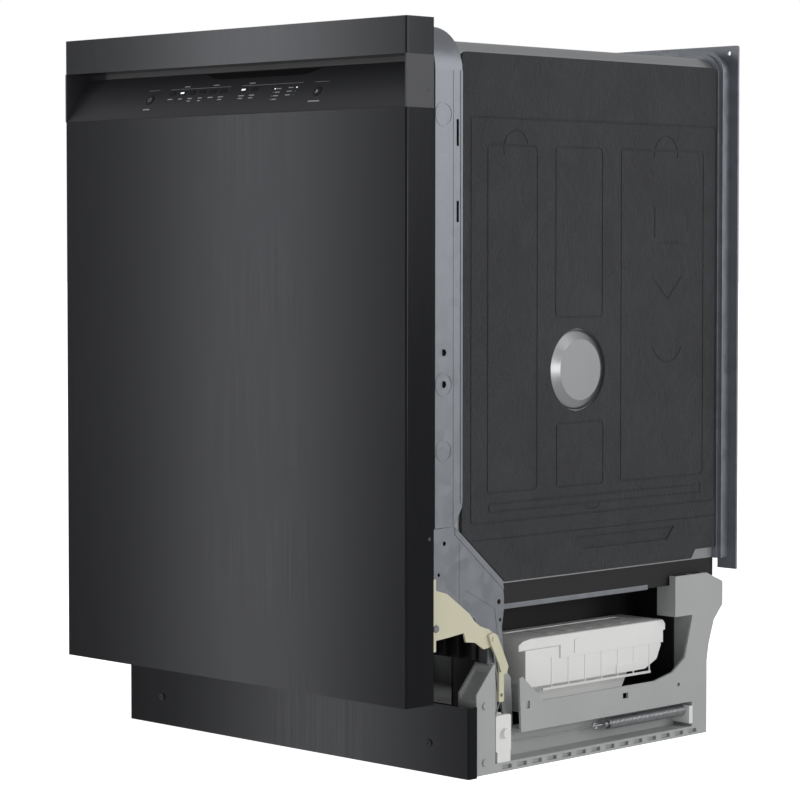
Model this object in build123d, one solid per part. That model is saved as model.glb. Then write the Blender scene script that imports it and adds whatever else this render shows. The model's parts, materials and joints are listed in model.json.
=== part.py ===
"""Built-in dishwasher, 24 inch class, as an assembly of its separate pieces.

X runs to the right, Y runs from the door's front to the back, and Z runs up from the floor. Depths
are measured from the front face of the closed door, and every piece is moved forward by half of the
depth when it is written, so the origin is on the floor under the middle of the machine.
All sizes are in millimetres.
"""

import os
from math import cos, radians, sin

from build123d import *

os.makedirs("parts", exist_ok=True)

# Overall sizes.
WIDTH = 598.0
HEIGHT = 861.0
DEPTH = 592.0

# Door, in its closed place.
DOOR_DEPTH = 43.3
DOOR_BOTTOM = 93.0
STRIP_TALL = 41.5
FASCIA_TALL = 59.0
FASCIA_LEAN = 36.0
SKIN = 1.2
SKIN_LIP = 12.0
SKIN_EDGE = 2.4
PIVOT_BEHIND = 14.7
PIVOT_Y = DOOR_DEPTH + PIVOT_BEHIND
PIVOT_Z = 176.0
PIVOT_R = 4.0
BORE_PLAY = 0.3

# Side planes, as distances in from the side of the door.
FRAME_IN = 14.0
TUB_IN = 18.0
BASE_IN = 8.0

# Tub and its frames.
TUB_GAUGE = 1.0
FRAME_GAUGE = 1.2
DOOR_GAP = 16.7
FRAME_FRONT = DOOR_DEPTH + DOOR_GAP
FRAME_BACK = 104.0
FRAME_DROP = 4.0
FRAME_CORNER = 52.0
FRAME_FLANGE = 20.0
FRAME_TOP_FLANGE = 34.0
FRAME_FOOT = 289.0
TUB_DROP = 21.0
TUB_CORNER = 24.0
TUB_BACK_IN = 28.6
TUB_FLOOR = 190.0
WRAP_FOOT_UP = 27.0
FLOOR_RIM = 32.0
REAR_PLATE = 3.0
REAR_FLANGE = 21.0
FELT = 3.4
GROOVE = 0.7
GROOVE_WIDE = 2.6
PORT_Y = 304.0
PORT_Z = 460.5
PORT_R = 48.0
PORT_FACE_R = 36.0
PORT_PROUD = 4.0

# Kick plate and base.
KICK_Y = 101.0
KICK_TOP = 82.0
KICK_RETURN = 14.0
BASE_WALL = 3.0
RAIL_TALL = 11.0
BASE_DEEP = 29.0
PILLAR_FRONT = 122.0
PILLAR_BACK = 153.4
PILLAR_TOP = 126.0
POST_FRONT_IN = 80.0
POST_BACK_IN = 51.0
POST_TOP = 200.0
BRACKET_LOW = 42.0
BRACKET_TOP = 75.0
BRACKET_PEAK = 107.0

# Balance gear beside the tub: pulley, cord, spring.
ARM_THICK = 2.5
ARM_GAP = 1.0
LINK_PIN_Y = 149.0
LINK_PIN_Z = 156.0
PULLEY_R = 14.0
PULLEY_Y = PILLAR_BACK + PULLEY_R + 2.1
PULLEY_Z = RAIL_TALL + PULLEY_R + 20.0
CORD_R = 0.8
SPRING_R = 7.0
SPRING_LONG = 143.0
SPRING_FRONT = 362.0

# Racks and spray arms.
RACK_SIDE_GAP = 29.0
RACK_WALL = 2.5
RACK_CORNER = 6.0
LOWER_RACK_Z = 222.0
LOWER_RACK_TALL = 150.0
UPPER_RACK_Z = 506.0
UPPER_RACK_TALL = 125.0
WHEEL_R = 14.0
FLOOR_PLAY = 0.6

# Print and keys on the sloping fascia, as places along X and up the slope.
KEY_WIDE = 11.0
KEY_TALL = 5.0
KEY_PROUD = 0.8
KEY_PLAY = 0.3
CYCLE_KEY_X = [-117.5, -99.0, -81.5, -63.0, -44.5, -26.0]
OPTION_KEY_X = [10.5, 28.5]
KEY_UP = 34.3
POWER_KEY_X = -154.5
START_KEY_X = 140.0
BIG_KEY_UP = 26.5
BIG_KEY_R = 6.5

# Values that follow from the ones above.
HALF = WIDTH / 2
STRIP_BOTTOM = HEIGHT - STRIP_TALL
PANEL_TOP = STRIP_BOTTOM - FASCIA_TALL
X_FRAME = HALF - FRAME_IN
X_TUB = HALF - TUB_IN
X_BASE = HALF - BASE_IN
X_BASE_INNER = X_BASE - BASE_DEEP
FRAME_TOP = HEIGHT - FRAME_DROP
TUB_TOP = HEIGHT - TUB_DROP
TUB_BACK = DEPTH - TUB_BACK_IN
POST_FRONT = DEPTH - POST_FRONT_IN
POST_BACK = DEPTH - POST_BACK_IN
X_ARM = X_FRAME + ARM_GAP
X_LINK = X_ARM + ARM_THICK + 0.5
CORD_RUN = PULLEY_R + 0.2
SPRING_Z = PULLEY_Z - CORD_RUN
PIECES = []


def block(x, y, z):
    """A box between the two limits given for each axis."""
    size = Box(x[1] - x[0], y[1] - y[0], z[1] - z[0])
    return Pos((x[0] + x[1]) / 2, (y[0] + y[1]) / 2, (z[0] + z[1]) / 2) * size


def rod_x(x, y, z, radius):
    """A round bar along X between the two limits of x."""
    return Pos((x[0] + x[1]) / 2, y, z) * Rot(0, 90, 0) * Cylinder(radius, x[1] - x[0])


def rod_y(x, y, z, radius):
    """A round bar along Y between the two limits of y."""
    return Pos(x, (y[0] + y[1]) / 2, z) * Rot(90, 0, 0) * Cylinder(radius, y[1] - y[0])


def rod_z(x, y, z, radius):
    """A round bar along Z between the two limits of z."""
    return Pos(x, y, (z[0] + z[1]) / 2) * Cylinder(radius, z[1] - z[0])


def side_plate(points, x):
    """A flat plate with its outline given as depth and height, between the two limits of x."""
    outline = make_face(Polyline([(x[0], y, z) for y, z in points], close=True))
    return extrude(outline, amount=x[1] - x[0], dir=(1, 0, 0))


def front_plate(points, y):
    """A flat plate with its outline given as X and height, between the two limits of y."""
    outline = make_face(Polyline([(px, y[0], pz) for px, pz in points], close=True))
    return extrude(outline, amount=y[1] - y[0], dir=(0, 1, 0))


def both_sides(shape):
    """The right-hand shape and its mirror image on the left."""
    return [shape, mirror(shape, about=Plane.YZ)]


def write(name, *shapes):
    """Moves the pieces to the row's frame and writes them as one node."""
    solids = []
    for shape in shapes:
        if isinstance(shape, (list, tuple)):
            for item in shape:
                solids.extend(item.solids())
        else:
            solids.extend(shape.solids())
    placed = Compound(children=[Pos(0, -DEPTH / 2, 0) * solid for solid in solids])
    export_step(placed, f"parts/{name}.step")
    PIECES.append(name)


def round_arch(half, top, foot, corner, y):
    """A slab with the outline of an arch: upright sides and two rounded top corners."""
    with BuildSketch(Plane.XZ) as sketch:
        with BuildLine():
            Line((-half, foot), (-half, top - corner))
            RadiusArc((-half, top - corner), (-half + corner, top), corner)
            Line((-half + corner, top), (half - corner, top))
            RadiusArc((half - corner, top), (half, top - corner), corner)
            Line((half, top - corner), (half, foot))
            Line((half, foot), (-half, foot))
        make_face()
    return Pos(0, y[1], 0) * extrude(sketch.sketch, amount=y[1] - y[0])


def door_skin():
    """The outer panel: a tray with deep side returns, a shallow lip below and a shelf above."""
    outer = block((-HALF, HALF), (0, DOOR_DEPTH), (DOOR_BOTTOM, PANEL_TOP))
    outer = fillet(outer.edges().filter_by(Axis.Z).group_by(Axis.Y)[0], SKIN_EDGE)
    inside = block(
        (-HALF + SKIN, HALF - SKIN), (SKIN, DOOR_DEPTH + 1), (DOOR_BOTTOM + SKIN, PANEL_TOP - SKIN)
    )
    bottom_gap = block(
        (-HALF + SKIN, HALF - SKIN), (SKIN_LIP, DOOR_DEPTH + 1), (DOOR_BOTTOM - 1, DOOR_BOTTOM + 5)
    )
    return outer - inside - bottom_gap


def top_strip():
    """The full-width strip above the fascia, which overhangs the finger pocket."""
    strip = block((-HALF, HALF), (0, DOOR_DEPTH), (STRIP_BOTTOM, HEIGHT))
    edges = strip.edges().filter_by(Axis.Z).group_by(Axis.Y)[0]
    strip = fillet(edges, SKIN_EDGE)
    hollow = block(
        (-HALF + 3, HALF - 3), (FASCIA_LEAN + 3, DOOR_DEPTH - 2), (STRIP_BOTTOM - 1, HEIGHT - 3)
    )
    lip = block((-HALF + 3, HALF - 3), (3, FASCIA_LEAN - 3), (STRIP_BOTTOM + 4, HEIGHT - 3))
    return strip - hollow - lip


FASCIA_TOP = STRIP_BOTTOM
SLOPE_LOW = PANEL_TOP + 1.0
SLOPE_HIGH = FASCIA_TOP - 6.0
SLOPE = Plane(
    origin=(0, 1.0, SLOPE_LOW),
    x_dir=(1, 0, 0),
    z_dir=(0, -(SLOPE_HIGH - SLOPE_LOW), FASCIA_LEAN - 1.0),
)


def on_slope(x, up, depth=0.0):
    """A place on the sloping fascia: X, the distance up the slope and the height above it."""
    return SLOPE * Pos(x, up, depth)


def fascia():
    """The sloping control face with its cheeks, finger pocket and key holes."""
    profile = [
        (0, PANEL_TOP),
        (1, SLOPE_LOW),
        (FASCIA_LEAN, SLOPE_HIGH),
        (FASCIA_LEAN, FASCIA_TOP),
        (DOOR_DEPTH, FASCIA_TOP),
        (DOOR_DEPTH, PANEL_TOP),
    ]
    body = side_plate(profile, (-HALF, HALF))
    cheek = [(0, PANEL_TOP), (0, FASCIA_TOP), (FASCIA_LEAN + 1, FASCIA_TOP), (FASCIA_LEAN + 1, PANEL_TOP)]
    left = side_plate(cheek, (-HALF, -HALF + 2.4))
    right = side_plate(cheek, (HALF - 2.4, HALF))
    body = body + left + right
    hollow = [
        (3, PANEL_TOP - 1),
        (3, SLOPE_LOW + 1),
        (FASCIA_LEAN + 1, SLOPE_HIGH - 2),
        (FASCIA_LEAN + 1, FASCIA_TOP - 2),
        (DOOR_DEPTH - 2, FASCIA_TOP - 2),
        (DOOR_DEPTH - 2, PANEL_TOP - 1),
    ]
    body = body - side_plate(hollow, (-HALF + 2.4, HALF - 2.4))
    for x in CYCLE_KEY_X + OPTION_KEY_X:
        body = body - on_slope(x, KEY_UP) * key_shape(KEY_PLAY, 12.0)
    for x in (POWER_KEY_X, START_KEY_X):
        body = body - on_slope(x, BIG_KEY_UP) * Cylinder(BIG_KEY_R + KEY_PLAY, 12.0)
    return body


def key_shape(play, tall):
    """An oval key, grown all round by a play, centred on its plane."""
    outline = SlotOverall(KEY_WIDE + 2 * play, KEY_TALL + 2 * play)
    return Pos(0, 0, -tall / 2) * extrude(outline, amount=tall)


def small_key(x):
    """One oval key with its stem, standing a little proud of the slope."""
    key = Pos(0, 0, -1.2) * extrude(SlotOverall(KEY_WIDE, KEY_TALL), amount=KEY_PROUD + 1.2)
    key = fillet(key.faces().sort_by(Axis.Z)[-1].edges(), 0.4)
    return on_slope(x, KEY_UP) * key


def round_key(x):
    """One round key, standing a little proud of the slope."""
    key = Pos(0, 0, -1.2) * extrude(Circle(BIG_KEY_R), amount=KEY_PROUD + 1.2)
    key = fillet(key.faces().sort_by(Axis.Z)[-1].edges(), 0.4)
    return on_slope(x, BIG_KEY_UP) * key


HOOK_Z = HEIGHT - 15.0
LINER_HALF = HALF - 13.0
LINER_BACK = DOOR_DEPTH + 3.0
LINER_DEEP = 78.0
LINER_LOW = 200.0
LINER_FOOT = 150.0
LINER_HIGH = HEIGHT - 46.0
LINER_PAN_HALF = HALF - 40.0
CUP_Z = (385.0, 470.0)
CUP_X = (-105.0, 40.0)


def door_liner():
    """The inner door: a flange round a pan that reaches into the tub, with a dispenser well."""
    flange = block((-LINER_HALF, LINER_HALF), (DOOR_DEPTH + 0.2, LINER_BACK), (LINER_FOOT, HEIGHT - 8))
    pan = block((-LINER_PAN_HALF, LINER_PAN_HALF), (DOOR_DEPTH + 0.2, LINER_DEEP), (LINER_LOW, LINER_HIGH))
    pan = fillet(pan.edges().filter_by(Axis.Y), 16)
    pan = fillet(pan.faces().sort_by(Axis.Y)[-1].edges(), 5)
    inner = block(
        (-LINER_PAN_HALF + 1.2, LINER_PAN_HALF - 1.2),
        (DOOR_DEPTH, LINER_DEEP - 1.2),
        (LINER_LOW + 1.2, LINER_HIGH - 1.2),
    )
    inner = fillet(inner.edges().filter_by(Axis.Y), 15)
    inner = fillet(inner.faces().sort_by(Axis.Y)[-1].edges(), 4)
    well = block(CUP_X, (DOOR_DEPTH, LINER_DEEP + 2), CUP_Z)
    return flange + pan - inner - well


def dispenser_body():
    """The detergent and rinse aid dispenser, set in its well in the liner."""
    x_low, x_high = CUP_X
    z_low, z_high = CUP_Z
    rim = block((x_low + 0.3, x_high - 0.3), (LINER_DEEP - 26, LINER_DEEP), (z_low + 0.3, z_high - 0.3))
    rim = fillet(rim.edges().filter_by(Axis.Y), 6)
    cup = block((x_low + 12, x_low + 74), (LINER_DEEP - 22, LINER_DEEP + 1), (z_low + 14, z_high - 14))
    cup = fillet(cup.edges().filter_by(Axis.Y), 8)
    recess = block((x_low + 8, x_high - 6), (LINER_DEEP - 4.0, LINER_DEEP + 1), (z_low + 10, z_high - 10))
    fill = rod_y(x_high - 34, (LINER_DEEP - 20, LINER_DEEP), (z_low + z_high) / 2, 12)
    return rim - recess - cup - fill


def detergent_lid():
    """The flat lid that slides sideways over the detergent cup and across the liner."""
    x_low = CUP_X[0]
    z_low, z_high = CUP_Z
    lid = block((x_low + 9, x_low + 77), (LINER_DEEP + 0.4, LINER_DEEP + 2.6), (z_low + 11, z_high - 11))
    lid = fillet(lid.edges().filter_by(Axis.Y), 5)
    grip = block((x_low + 30, x_low + 56), (LINER_DEEP + 2.5, LINER_DEEP + 4.6), (z_low + 38, z_low + 44))
    return lid + grip


RINSE_X = CUP_X[1] - 34.0
RINSE_Z = (CUP_Z[0] + CUP_Z[1]) / 2


def rinse_cap():
    """The flip cap over the rinse aid filler."""
    barrel_z = RINSE_Z + 16.2
    cap = rod_y(RINSE_X, (LINER_DEEP - 3.1, LINER_DEEP - 0.4), RINSE_Z, 15)
    plug = rod_y(RINSE_X, (LINER_DEEP - 12, LINER_DEEP - 3.1), RINSE_Z, 9)
    tab_deep = (LINER_DEEP - 3.1, LINER_DEEP - 1.0)
    tab = block((RINSE_X + 12, RINSE_X + 20), tab_deep, (RINSE_Z - 4, RINSE_Z + 4))
    lug = block((RINSE_X - 6, RINSE_X + 6), (LINER_DEEP - 3.1, LINER_DEEP - 1.0), (RINSE_Z + 12, barrel_z))
    barrel = rod_x((RINSE_X - 6, RINSE_X + 6), LINER_DEEP - 1.5, barrel_z, 1.2)
    return cap + plug + tab + lug + barrel


ARM_OUTLINE = [
    (PIVOT_Y - 9, 222),
    (76, 214),
    (113, 188),
    (122, 178),
    (131, 172),
    (146, 167),
    (156, 160),
    (155, 151),
    (146, 146),
    (137, 145),
    (123, 154),
    (107, 156),
    (104, 167),
    (76, 164),
    (PIVOT_Y - 9, 162),
]


def hinge_arms():
    """The cast arms that carry the door and hold the balance links at their rear ends."""
    arm = side_plate(ARM_OUTLINE, (X_ARM, X_ARM + ARM_THICK))
    arm = fillet(arm.edges().filter_by(Axis.X).sort_by(Axis.Y)[:2], 3)
    arm = arm - rod_x((X_ARM - 1, X_ARM + 5), LINK_PIN_Y, LINK_PIN_Z, 2.6)
    web = block((X_ARM, X_ARM + ARM_THICK), (LINER_BACK + 0.2, PIVOT_Y), (150, 232))
    bore = rod_x((X_ARM - 1, X_ARM + 5), PIVOT_Y, PIVOT_Z, PIVOT_R + BORE_PLAY)
    return both_sides(arm + web - bore)


def door_parts():
    write("door_skin", door_skin())
    write("top_strip", top_strip())
    write("control_fascia", fascia())
    for number, x in enumerate(CYCLE_KEY_X, 1):
        write(f"cycle_key_{number}", small_key(x))
    for number, x in enumerate(OPTION_KEY_X, 1):
        write(f"option_key_{number}", small_key(x))
    write("power_key", round_key(POWER_KEY_X))
    write("start_key", round_key(START_KEY_X))
    write("door_liner", door_liner())
    write("dispenser_body", dispenser_body())
    write("detergent_lid", detergent_lid())
    write("rinse_cap", rinse_cap())
    write("hinge_arms", hinge_arms())
    stem = block((-9, 9), (LINER_BACK, FRAME_FRONT + 16), (HOOK_Z - 2, HOOK_Z + 2))
    nose = block((-9, 9), (FRAME_FRONT + 12, FRAME_FRONT + 16), (HOOK_Z + 2, HOOK_Z + 6))
    write("latch_hook", stem + nose)
    low_lip = block((-LINER_PAN_HALF, LINER_PAN_HALF), (LINER_BACK, LINER_BACK + 6), (186, 196))
    low_lip = fillet(low_lip.edges().filter_by(Axis.X), 2.5)
    write("door_seal", low_lip)


OPEN_HALF = X_FRAME - FRAME_FLANGE
OPEN_TOP = FRAME_TOP - FRAME_TOP_FLANGE
SUMP_Y = FRAME_FRONT + (TUB_BACK - FRAME_FRONT) / 2 + 10.0
SUMP_R = 80.0
FUNNEL_R = 170.0
FUNNEL_DEEP = 22.0
RING_HIGH = HEIGHT - 106.0
RING_LOW = 376.0
HINGE_EDGE = [(92.0, 289.0), (172.0, 221.0)]
FELT_FRONT = FRAME_BACK + 0.4
FELT_TOP = HEIGHT - 34.0
FELT_FOOT = 219.0
FELT_OUT = X_TUB + FELT


def ring_x(x, y, z, outer, inner):
    """A flat ring on an X axis."""
    return rod_x(x, y, z, outer) - rod_x((x[0] - 1, x[1] + 1), y, z, inner)


def front_frame():
    """The folded sheet frame round the tub's mouth: a front flange and side flanges that run back."""
    outer = round_arch(X_FRAME, FRAME_TOP, TUB_FLOOR + 4, FRAME_CORNER, (FRAME_FRONT, FRAME_BACK))
    outer = fillet(outer.faces().sort_by(Axis.Y)[0].edges().filter_by(GeomType.LINE).filter_by(Axis.Z), 1.0)
    core = round_arch(
        X_FRAME - FRAME_GAUGE,
        FRAME_TOP - FRAME_GAUGE,
        TUB_FLOOR,
        FRAME_CORNER - FRAME_GAUGE,
        (FRAME_FRONT + FRAME_GAUGE, FRAME_BACK + 1),
    )
    mouth = round_arch(OPEN_HALF, OPEN_TOP, TUB_FLOOR, 20, (FRAME_FRONT - 1, FRAME_BACK + 1))
    frame = outer - core - mouth
    foot = [
        (FRAME_FRONT - 5, TUB_FLOOR - 9),
        (FRAME_FRONT - 5, FRAME_FOOT),
        (HINGE_EDGE[0][0], FRAME_FOOT),
        (FRAME_BACK + 1, FRAME_FOOT + 24),
        (FRAME_BACK + 1, TUB_FLOOR - 9),
    ]
    cut = side_plate(foot, (X_FRAME - FRAME_GAUGE - 0.6, X_FRAME + 1))
    groove = block((X_FRAME - 0.4, X_FRAME + 1), (88, 89.6), (FRAME_FOOT - 10, FRAME_TOP - FRAME_CORNER))
    for side in (cut, groove):
        for piece in both_sides(side):
            frame = frame - piece
    for z, outer_r in ((RING_HIGH, 14.0), (RING_LOW, 13.0), (451.0, 14.0)):
        for piece in both_sides(ring_x((X_FRAME - 0.2, X_FRAME + 0.5), 74, z, outer_r, outer_r - 2)):
            frame = frame + piece
    holes = [rod_x((X_FRAME - 3, X_FRAME + 3), 74, z, 4.0) for z in (487.0, 451.0)]
    holes += [
        block((X_FRAME - 3, X_FRAME + 3), (94.5, 98.5), (z, z + tall))
        for z, tall in ((634.0, 24.0), (HEIGHT - 141, 30.0))
    ]
    for hole in holes:
        for piece in both_sides(hole):
            frame = frame - piece
    frame = frame - block((-12, 12), (FRAME_FRONT - 1, FRAME_FRONT + 3), (HOOK_Z - 4, HOOK_Z + 8))
    rim = block(
        (X_FRAME - 0.2, X_FRAME + 0.7), (FRAME_BACK - 3, FRAME_BACK), (FRAME_FOOT + 26, FRAME_TOP - FRAME_CORNER)
    )
    for piece in both_sides(rim):
        frame = frame + piece
    return frame


def tub_wrap():
    """The tub's sides and top from one bent sheet, with a round port pressed out of each side."""
    span = (FRAME_FRONT + FRAME_GAUGE + 0.2, TUB_BACK)
    outer = round_arch(X_TUB, TUB_TOP, TUB_FLOOR + WRAP_FOOT_UP, TUB_CORNER, span)
    inner = round_arch(
        X_TUB - TUB_GAUGE, TUB_TOP - TUB_GAUGE, TUB_FLOOR, TUB_CORNER - TUB_GAUGE, (0, DEPTH)
    )
    wrap = outer - inner
    tall = FELT + PORT_PROUD
    place = Pos(X_TUB + tall / 2 - 0.2, PORT_Y, PORT_Z) * Rot(0, 90, 0)
    dish = place * Cone(PORT_R, PORT_FACE_R, tall)
    hollow = Pos(-TUB_GAUGE, 0, 0) * place * Cone(PORT_R - 1, PORT_FACE_R - 1, tall)
    dish = dish - hollow
    for piece in both_sides(rod_x((X_TUB - 3, X_TUB + 1), PORT_Y, PORT_Z, PORT_R - 1.5)):
        wrap = wrap - piece
    for piece in both_sides(dish):
        wrap = wrap + piece
    return wrap


def tub_floor():
    """The moulded floor with upturned edges and a funnel down to the sump."""
    half = X_TUB - TUB_GAUGE - 0.2
    front = FRAME_FRONT + 3.0
    back = TUB_BACK - 0.2
    pan = block((-half, half), (front, back), (TUB_FLOOR - 2, TUB_FLOOR + FLOOR_RIM))
    inside = block((-half + 2, half - 2), (front + 2, back - 2), (TUB_FLOOR, TUB_FLOOR + 40))
    low_front = block((-half - 1, half + 1), (front - 1, front + 3), (TUB_FLOOR + 3.5, TUB_FLOOR + 40))
    funnel = Pos(0, SUMP_Y, TUB_FLOOR - FUNNEL_DEEP / 2) * Cone(SUMP_R + 2, FUNNEL_R + 2, FUNNEL_DEEP)
    throat = Pos(0, SUMP_Y, TUB_FLOOR - FUNNEL_DEEP / 2 + 1.8) * Cone(SUMP_R, FUNNEL_R, FUNNEL_DEEP)
    drop = rod_z(0, SUMP_Y, (TUB_FLOOR - FUNNEL_DEEP - 5, TUB_FLOOR), SUMP_R - 1)
    return pan - inside - low_front + funnel - throat - drop


def rear_frame():
    """The square plate round the back of the tub, with a ridged flange that grips the tub."""
    back = (DEPTH - REAR_PLATE, DEPTH)
    half = HALF - 1.0
    top = HEIGHT - 5.0
    plate = block((-half, half), back, (POST_TOP + 1, top))
    plate = fillet(plate.edges().filter_by(Axis.Y).sort_by(Axis.Z)[-2:], 3)
    plate = plate - round_arch(X_TUB - 12, TUB_TOP - 12, 0, TUB_CORNER, (DEPTH - 10, DEPTH + 1))
    out = X_TUB + 5.0
    flange = round_arch(
        out, TUB_TOP + 5, TUB_FLOOR + 26, TUB_CORNER, (DEPTH - REAR_PLATE - REAR_FLANGE, DEPTH - REAR_PLATE)
    )
    flange = flange - round_arch(out - 1.2, TUB_TOP + 3.8, 0, TUB_CORNER - 1.2, (0, DEPTH))
    ridge = round_arch(
        out + 5,
        TUB_TOP + 10,
        TUB_FLOOR + 26,
        TUB_CORNER + 5,
        (DEPTH - REAR_PLATE - REAR_FLANGE, DEPTH - REAR_FLANGE),
    )
    ridge = ridge - round_arch(out - 0.6, TUB_TOP + 4.4, 0, TUB_CORNER - 0.6, (0, DEPTH))
    web = round_arch(
        out, TUB_TOP + 5, TUB_FLOOR + 26, TUB_CORNER, (TUB_BACK + TUB_GAUGE + 0.2, TUB_BACK + TUB_GAUGE + 1.4)
    )
    web = web - round_arch(X_TUB - 12, TUB_TOP - 12, 0, TUB_CORNER, (0, DEPTH))
    reach = round_arch(
        out, TUB_TOP + 5, TUB_FLOOR + 26, TUB_CORNER, (TUB_BACK + TUB_GAUGE + 0.2, DEPTH - REAR_FLANGE)
    )
    reach = reach - round_arch(out - 1.2, TUB_TOP + 3.8, 0, TUB_CORNER - 1.2, (0, DEPTH))
    frame = plate + flange + ridge + web + reach
    hole = rod_y(HALF - BRACKET_HOLE_IN, (DEPTH - 10, DEPTH + 1), HEIGHT - 14.2, BRACKET_HOLE_R)
    for piece in both_sides(hole):
        frame = frame - piece
    return frame


BRACKET_HOLE_IN = 15.4
BRACKET_HOLE_R = 3.0


def groove_frame(y, z):
    """A rectangular embossed line on the felt's outer face."""
    x = (FELT_OUT - GROOVE, FELT_OUT + 1)
    outer = block(x, y, z)
    if min(y[1] - y[0], z[1] - z[0]) > 6 * GROOVE_WIDE:
        outer = fillet(outer.edges().filter_by(Axis.X), 8)
    inner = block(
        (x[0] - 1, x[1] + 1),
        (y[0] + GROOVE_WIDE, y[1] - GROOVE_WIDE),
        (z[0] + GROOVE_WIDE, z[1] - GROOVE_WIDE),
    )
    return outer - inner


def groove_arc(y, z, radius, low, high):
    """An embossed arc on the felt, from one angle to another, counted from +Y towards +Z."""
    x = (FELT_OUT - GROOVE, FELT_OUT + 1)
    ring = ring_x(x, y, z, radius + GROOVE_WIDE / 2, radius - GROOVE_WIDE / 2)
    reach = radius * 3
    steps = [radians(low + (high - low) * step / 4) for step in range(5)]
    fan = [(y, z)] + [(y + reach * cos(a), z + reach * sin(a)) for a in steps]
    return ring & side_plate(fan, x)


def groove_bar(start, end, wide):
    """A straight embossed bar between two places on the felt."""
    dy = end[0] - start[0]
    dz = end[1] - start[1]
    long = (dy * dy + dz * dz) ** 0.5
    ny = -dz / long * wide / 2
    nz = dy / long * wide / 2
    points = [
        (start[0] + ny, start[1] + nz),
        (end[0] + ny, end[1] + nz),
        (end[0] - ny, end[1] - nz),
        (start[0] - ny, start[1] - nz),
    ]
    return side_plate(points, (FELT_OUT - GROOVE, FELT_OUT + 1))


def insulation():
    """The pressed felt mat on the right side of the tub, with its embossed panels and marks."""
    back = TUB_BACK + 0.4
    low_y, low_z = HINGE_EDGE[1]
    slope_z = HINGE_EDGE[0][1] + (HINGE_EDGE[0][0] - FELT_FRONT) * 0.85
    outline = [
        (FELT_FRONT, FELT_TOP),
        (back, FELT_TOP),
        (back, FELT_FOOT + 11),
        (back - 38, FELT_FOOT + 11),
        (back - 46, FELT_FOOT),
        (low_y + 6, FELT_FOOT),
        (FELT_FRONT, slope_z + 2),
    ]
    mat = side_plate(outline, (X_TUB + 0.05, FELT_OUT))
    top_edges = mat.edges().filter_by(Axis.X).group_by(Axis.Z)[-1]
    mat = fillet(top_edges, 8)
    mat = mat - rod_x((X_TUB - 1, FELT_OUT + 1), PORT_Y, PORT_Z, PORT_R + 0.8)
    top = FELT_TOP - 103.0
    grooves = [
        groove_frame((117, back - 1), (288, FELT_TOP - 72)),
        groove_frame((145, 232), (322, top)),
        groove_frame((262, 348), (PORT_Z + PORT_R + 13, top)),
        groove_frame((380, back - 25), (322, top)),
        groove_frame((264, 350), (322, PORT_Z - PORT_R - 13)),
        groove_frame((147, back - 30), (300, 312)),
        groove_arc(194, top - 5, 21, 20, 200),
        groove_arc(465, top - 6, 22, -10, 190),
        groove_arc(468, 494, 29, 200, 340),
        groove_arc(330, 312, 18, 215, 325),
        groove_bar((441, 567), (468, 542), 3.0),
        groove_bar((468, 542), (496, 570), 3.0),
        groove_bar((444, 616), (444, 654), 3.0),
        groove_bar((452, 611), (489, 611), 3.0),
        groove_bar((117, 270), (back, 270), 1.6),
    ]
    for groove in grooves:
        mat = mat - groove
    pocket = side_plate([(299, 262), (314, 246), (470, 246), (484, 262)], (FELT_OUT - 1.6, FELT_OUT + 1))
    return mat - pocket


HINGE_OUTLINE = [
    (PIVOT_Y, 288),
    HINGE_EDGE[0],
    HINGE_EDGE[1],
    (174.5, 201),
    (174.5, 188),
    (171, 167),
    (174.5, 135),
    (174.5, PILLAR_TOP + 0.4),
    (147, PILLAR_TOP + 0.4),
    (147, 145),
    (112, 168),
    (PIVOT_Y, 168),
    (PIVOT_Y - 7, PIVOT_Z - 6),
    (PIVOT_Y - 7, PIVOT_Z + 6),
    (PIVOT_Y, 184),
]


HINGE_PLATE_HOLES = [
    (122.6, 178.3, 3.5),
    (166, 197, 3.0),
    (168, 176, 2.0),
    (75, 271, 2.6),
    (66, 236, 2.0),
]


def hinge_plate():
    """The pressed steel plate that carries the door hinge on the right side of the tub."""
    plate = side_plate(HINGE_OUTLINE, (X_FRAME - FRAME_GAUGE, X_FRAME))
    band = [(92, 288.5), HINGE_EDGE[1], (174, 210), (99, 274), (92, 280)]
    plate = plate + side_plate(band, (X_FRAME - 0.4, X_FRAME + 0.6))
    groove = [(110, 215), (159, 190), (165.5, 150), (165.5, 132)]
    groove += [(162.5, 132), (162.5, 150), (156, 187), (109, 211)]
    plate = plate - side_plate(groove, (X_FRAME - 0.4, X_FRAME + 1))
    for y, z, radius in HINGE_PLATE_HOLES:
        plate = plate - rod_x((X_FRAME - 3, X_FRAME + 3), y, z, radius)
    seam = block((X_FRAME - 0.3, X_FRAME + 1), (98.2, 99.6), (196, 271))
    pin = rod_x((X_FRAME - FRAME_GAUGE, X_ARM + ARM_THICK + 1.2), PIVOT_Y, PIVOT_Z, PIVOT_R)
    return plate - seam + pin


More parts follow.
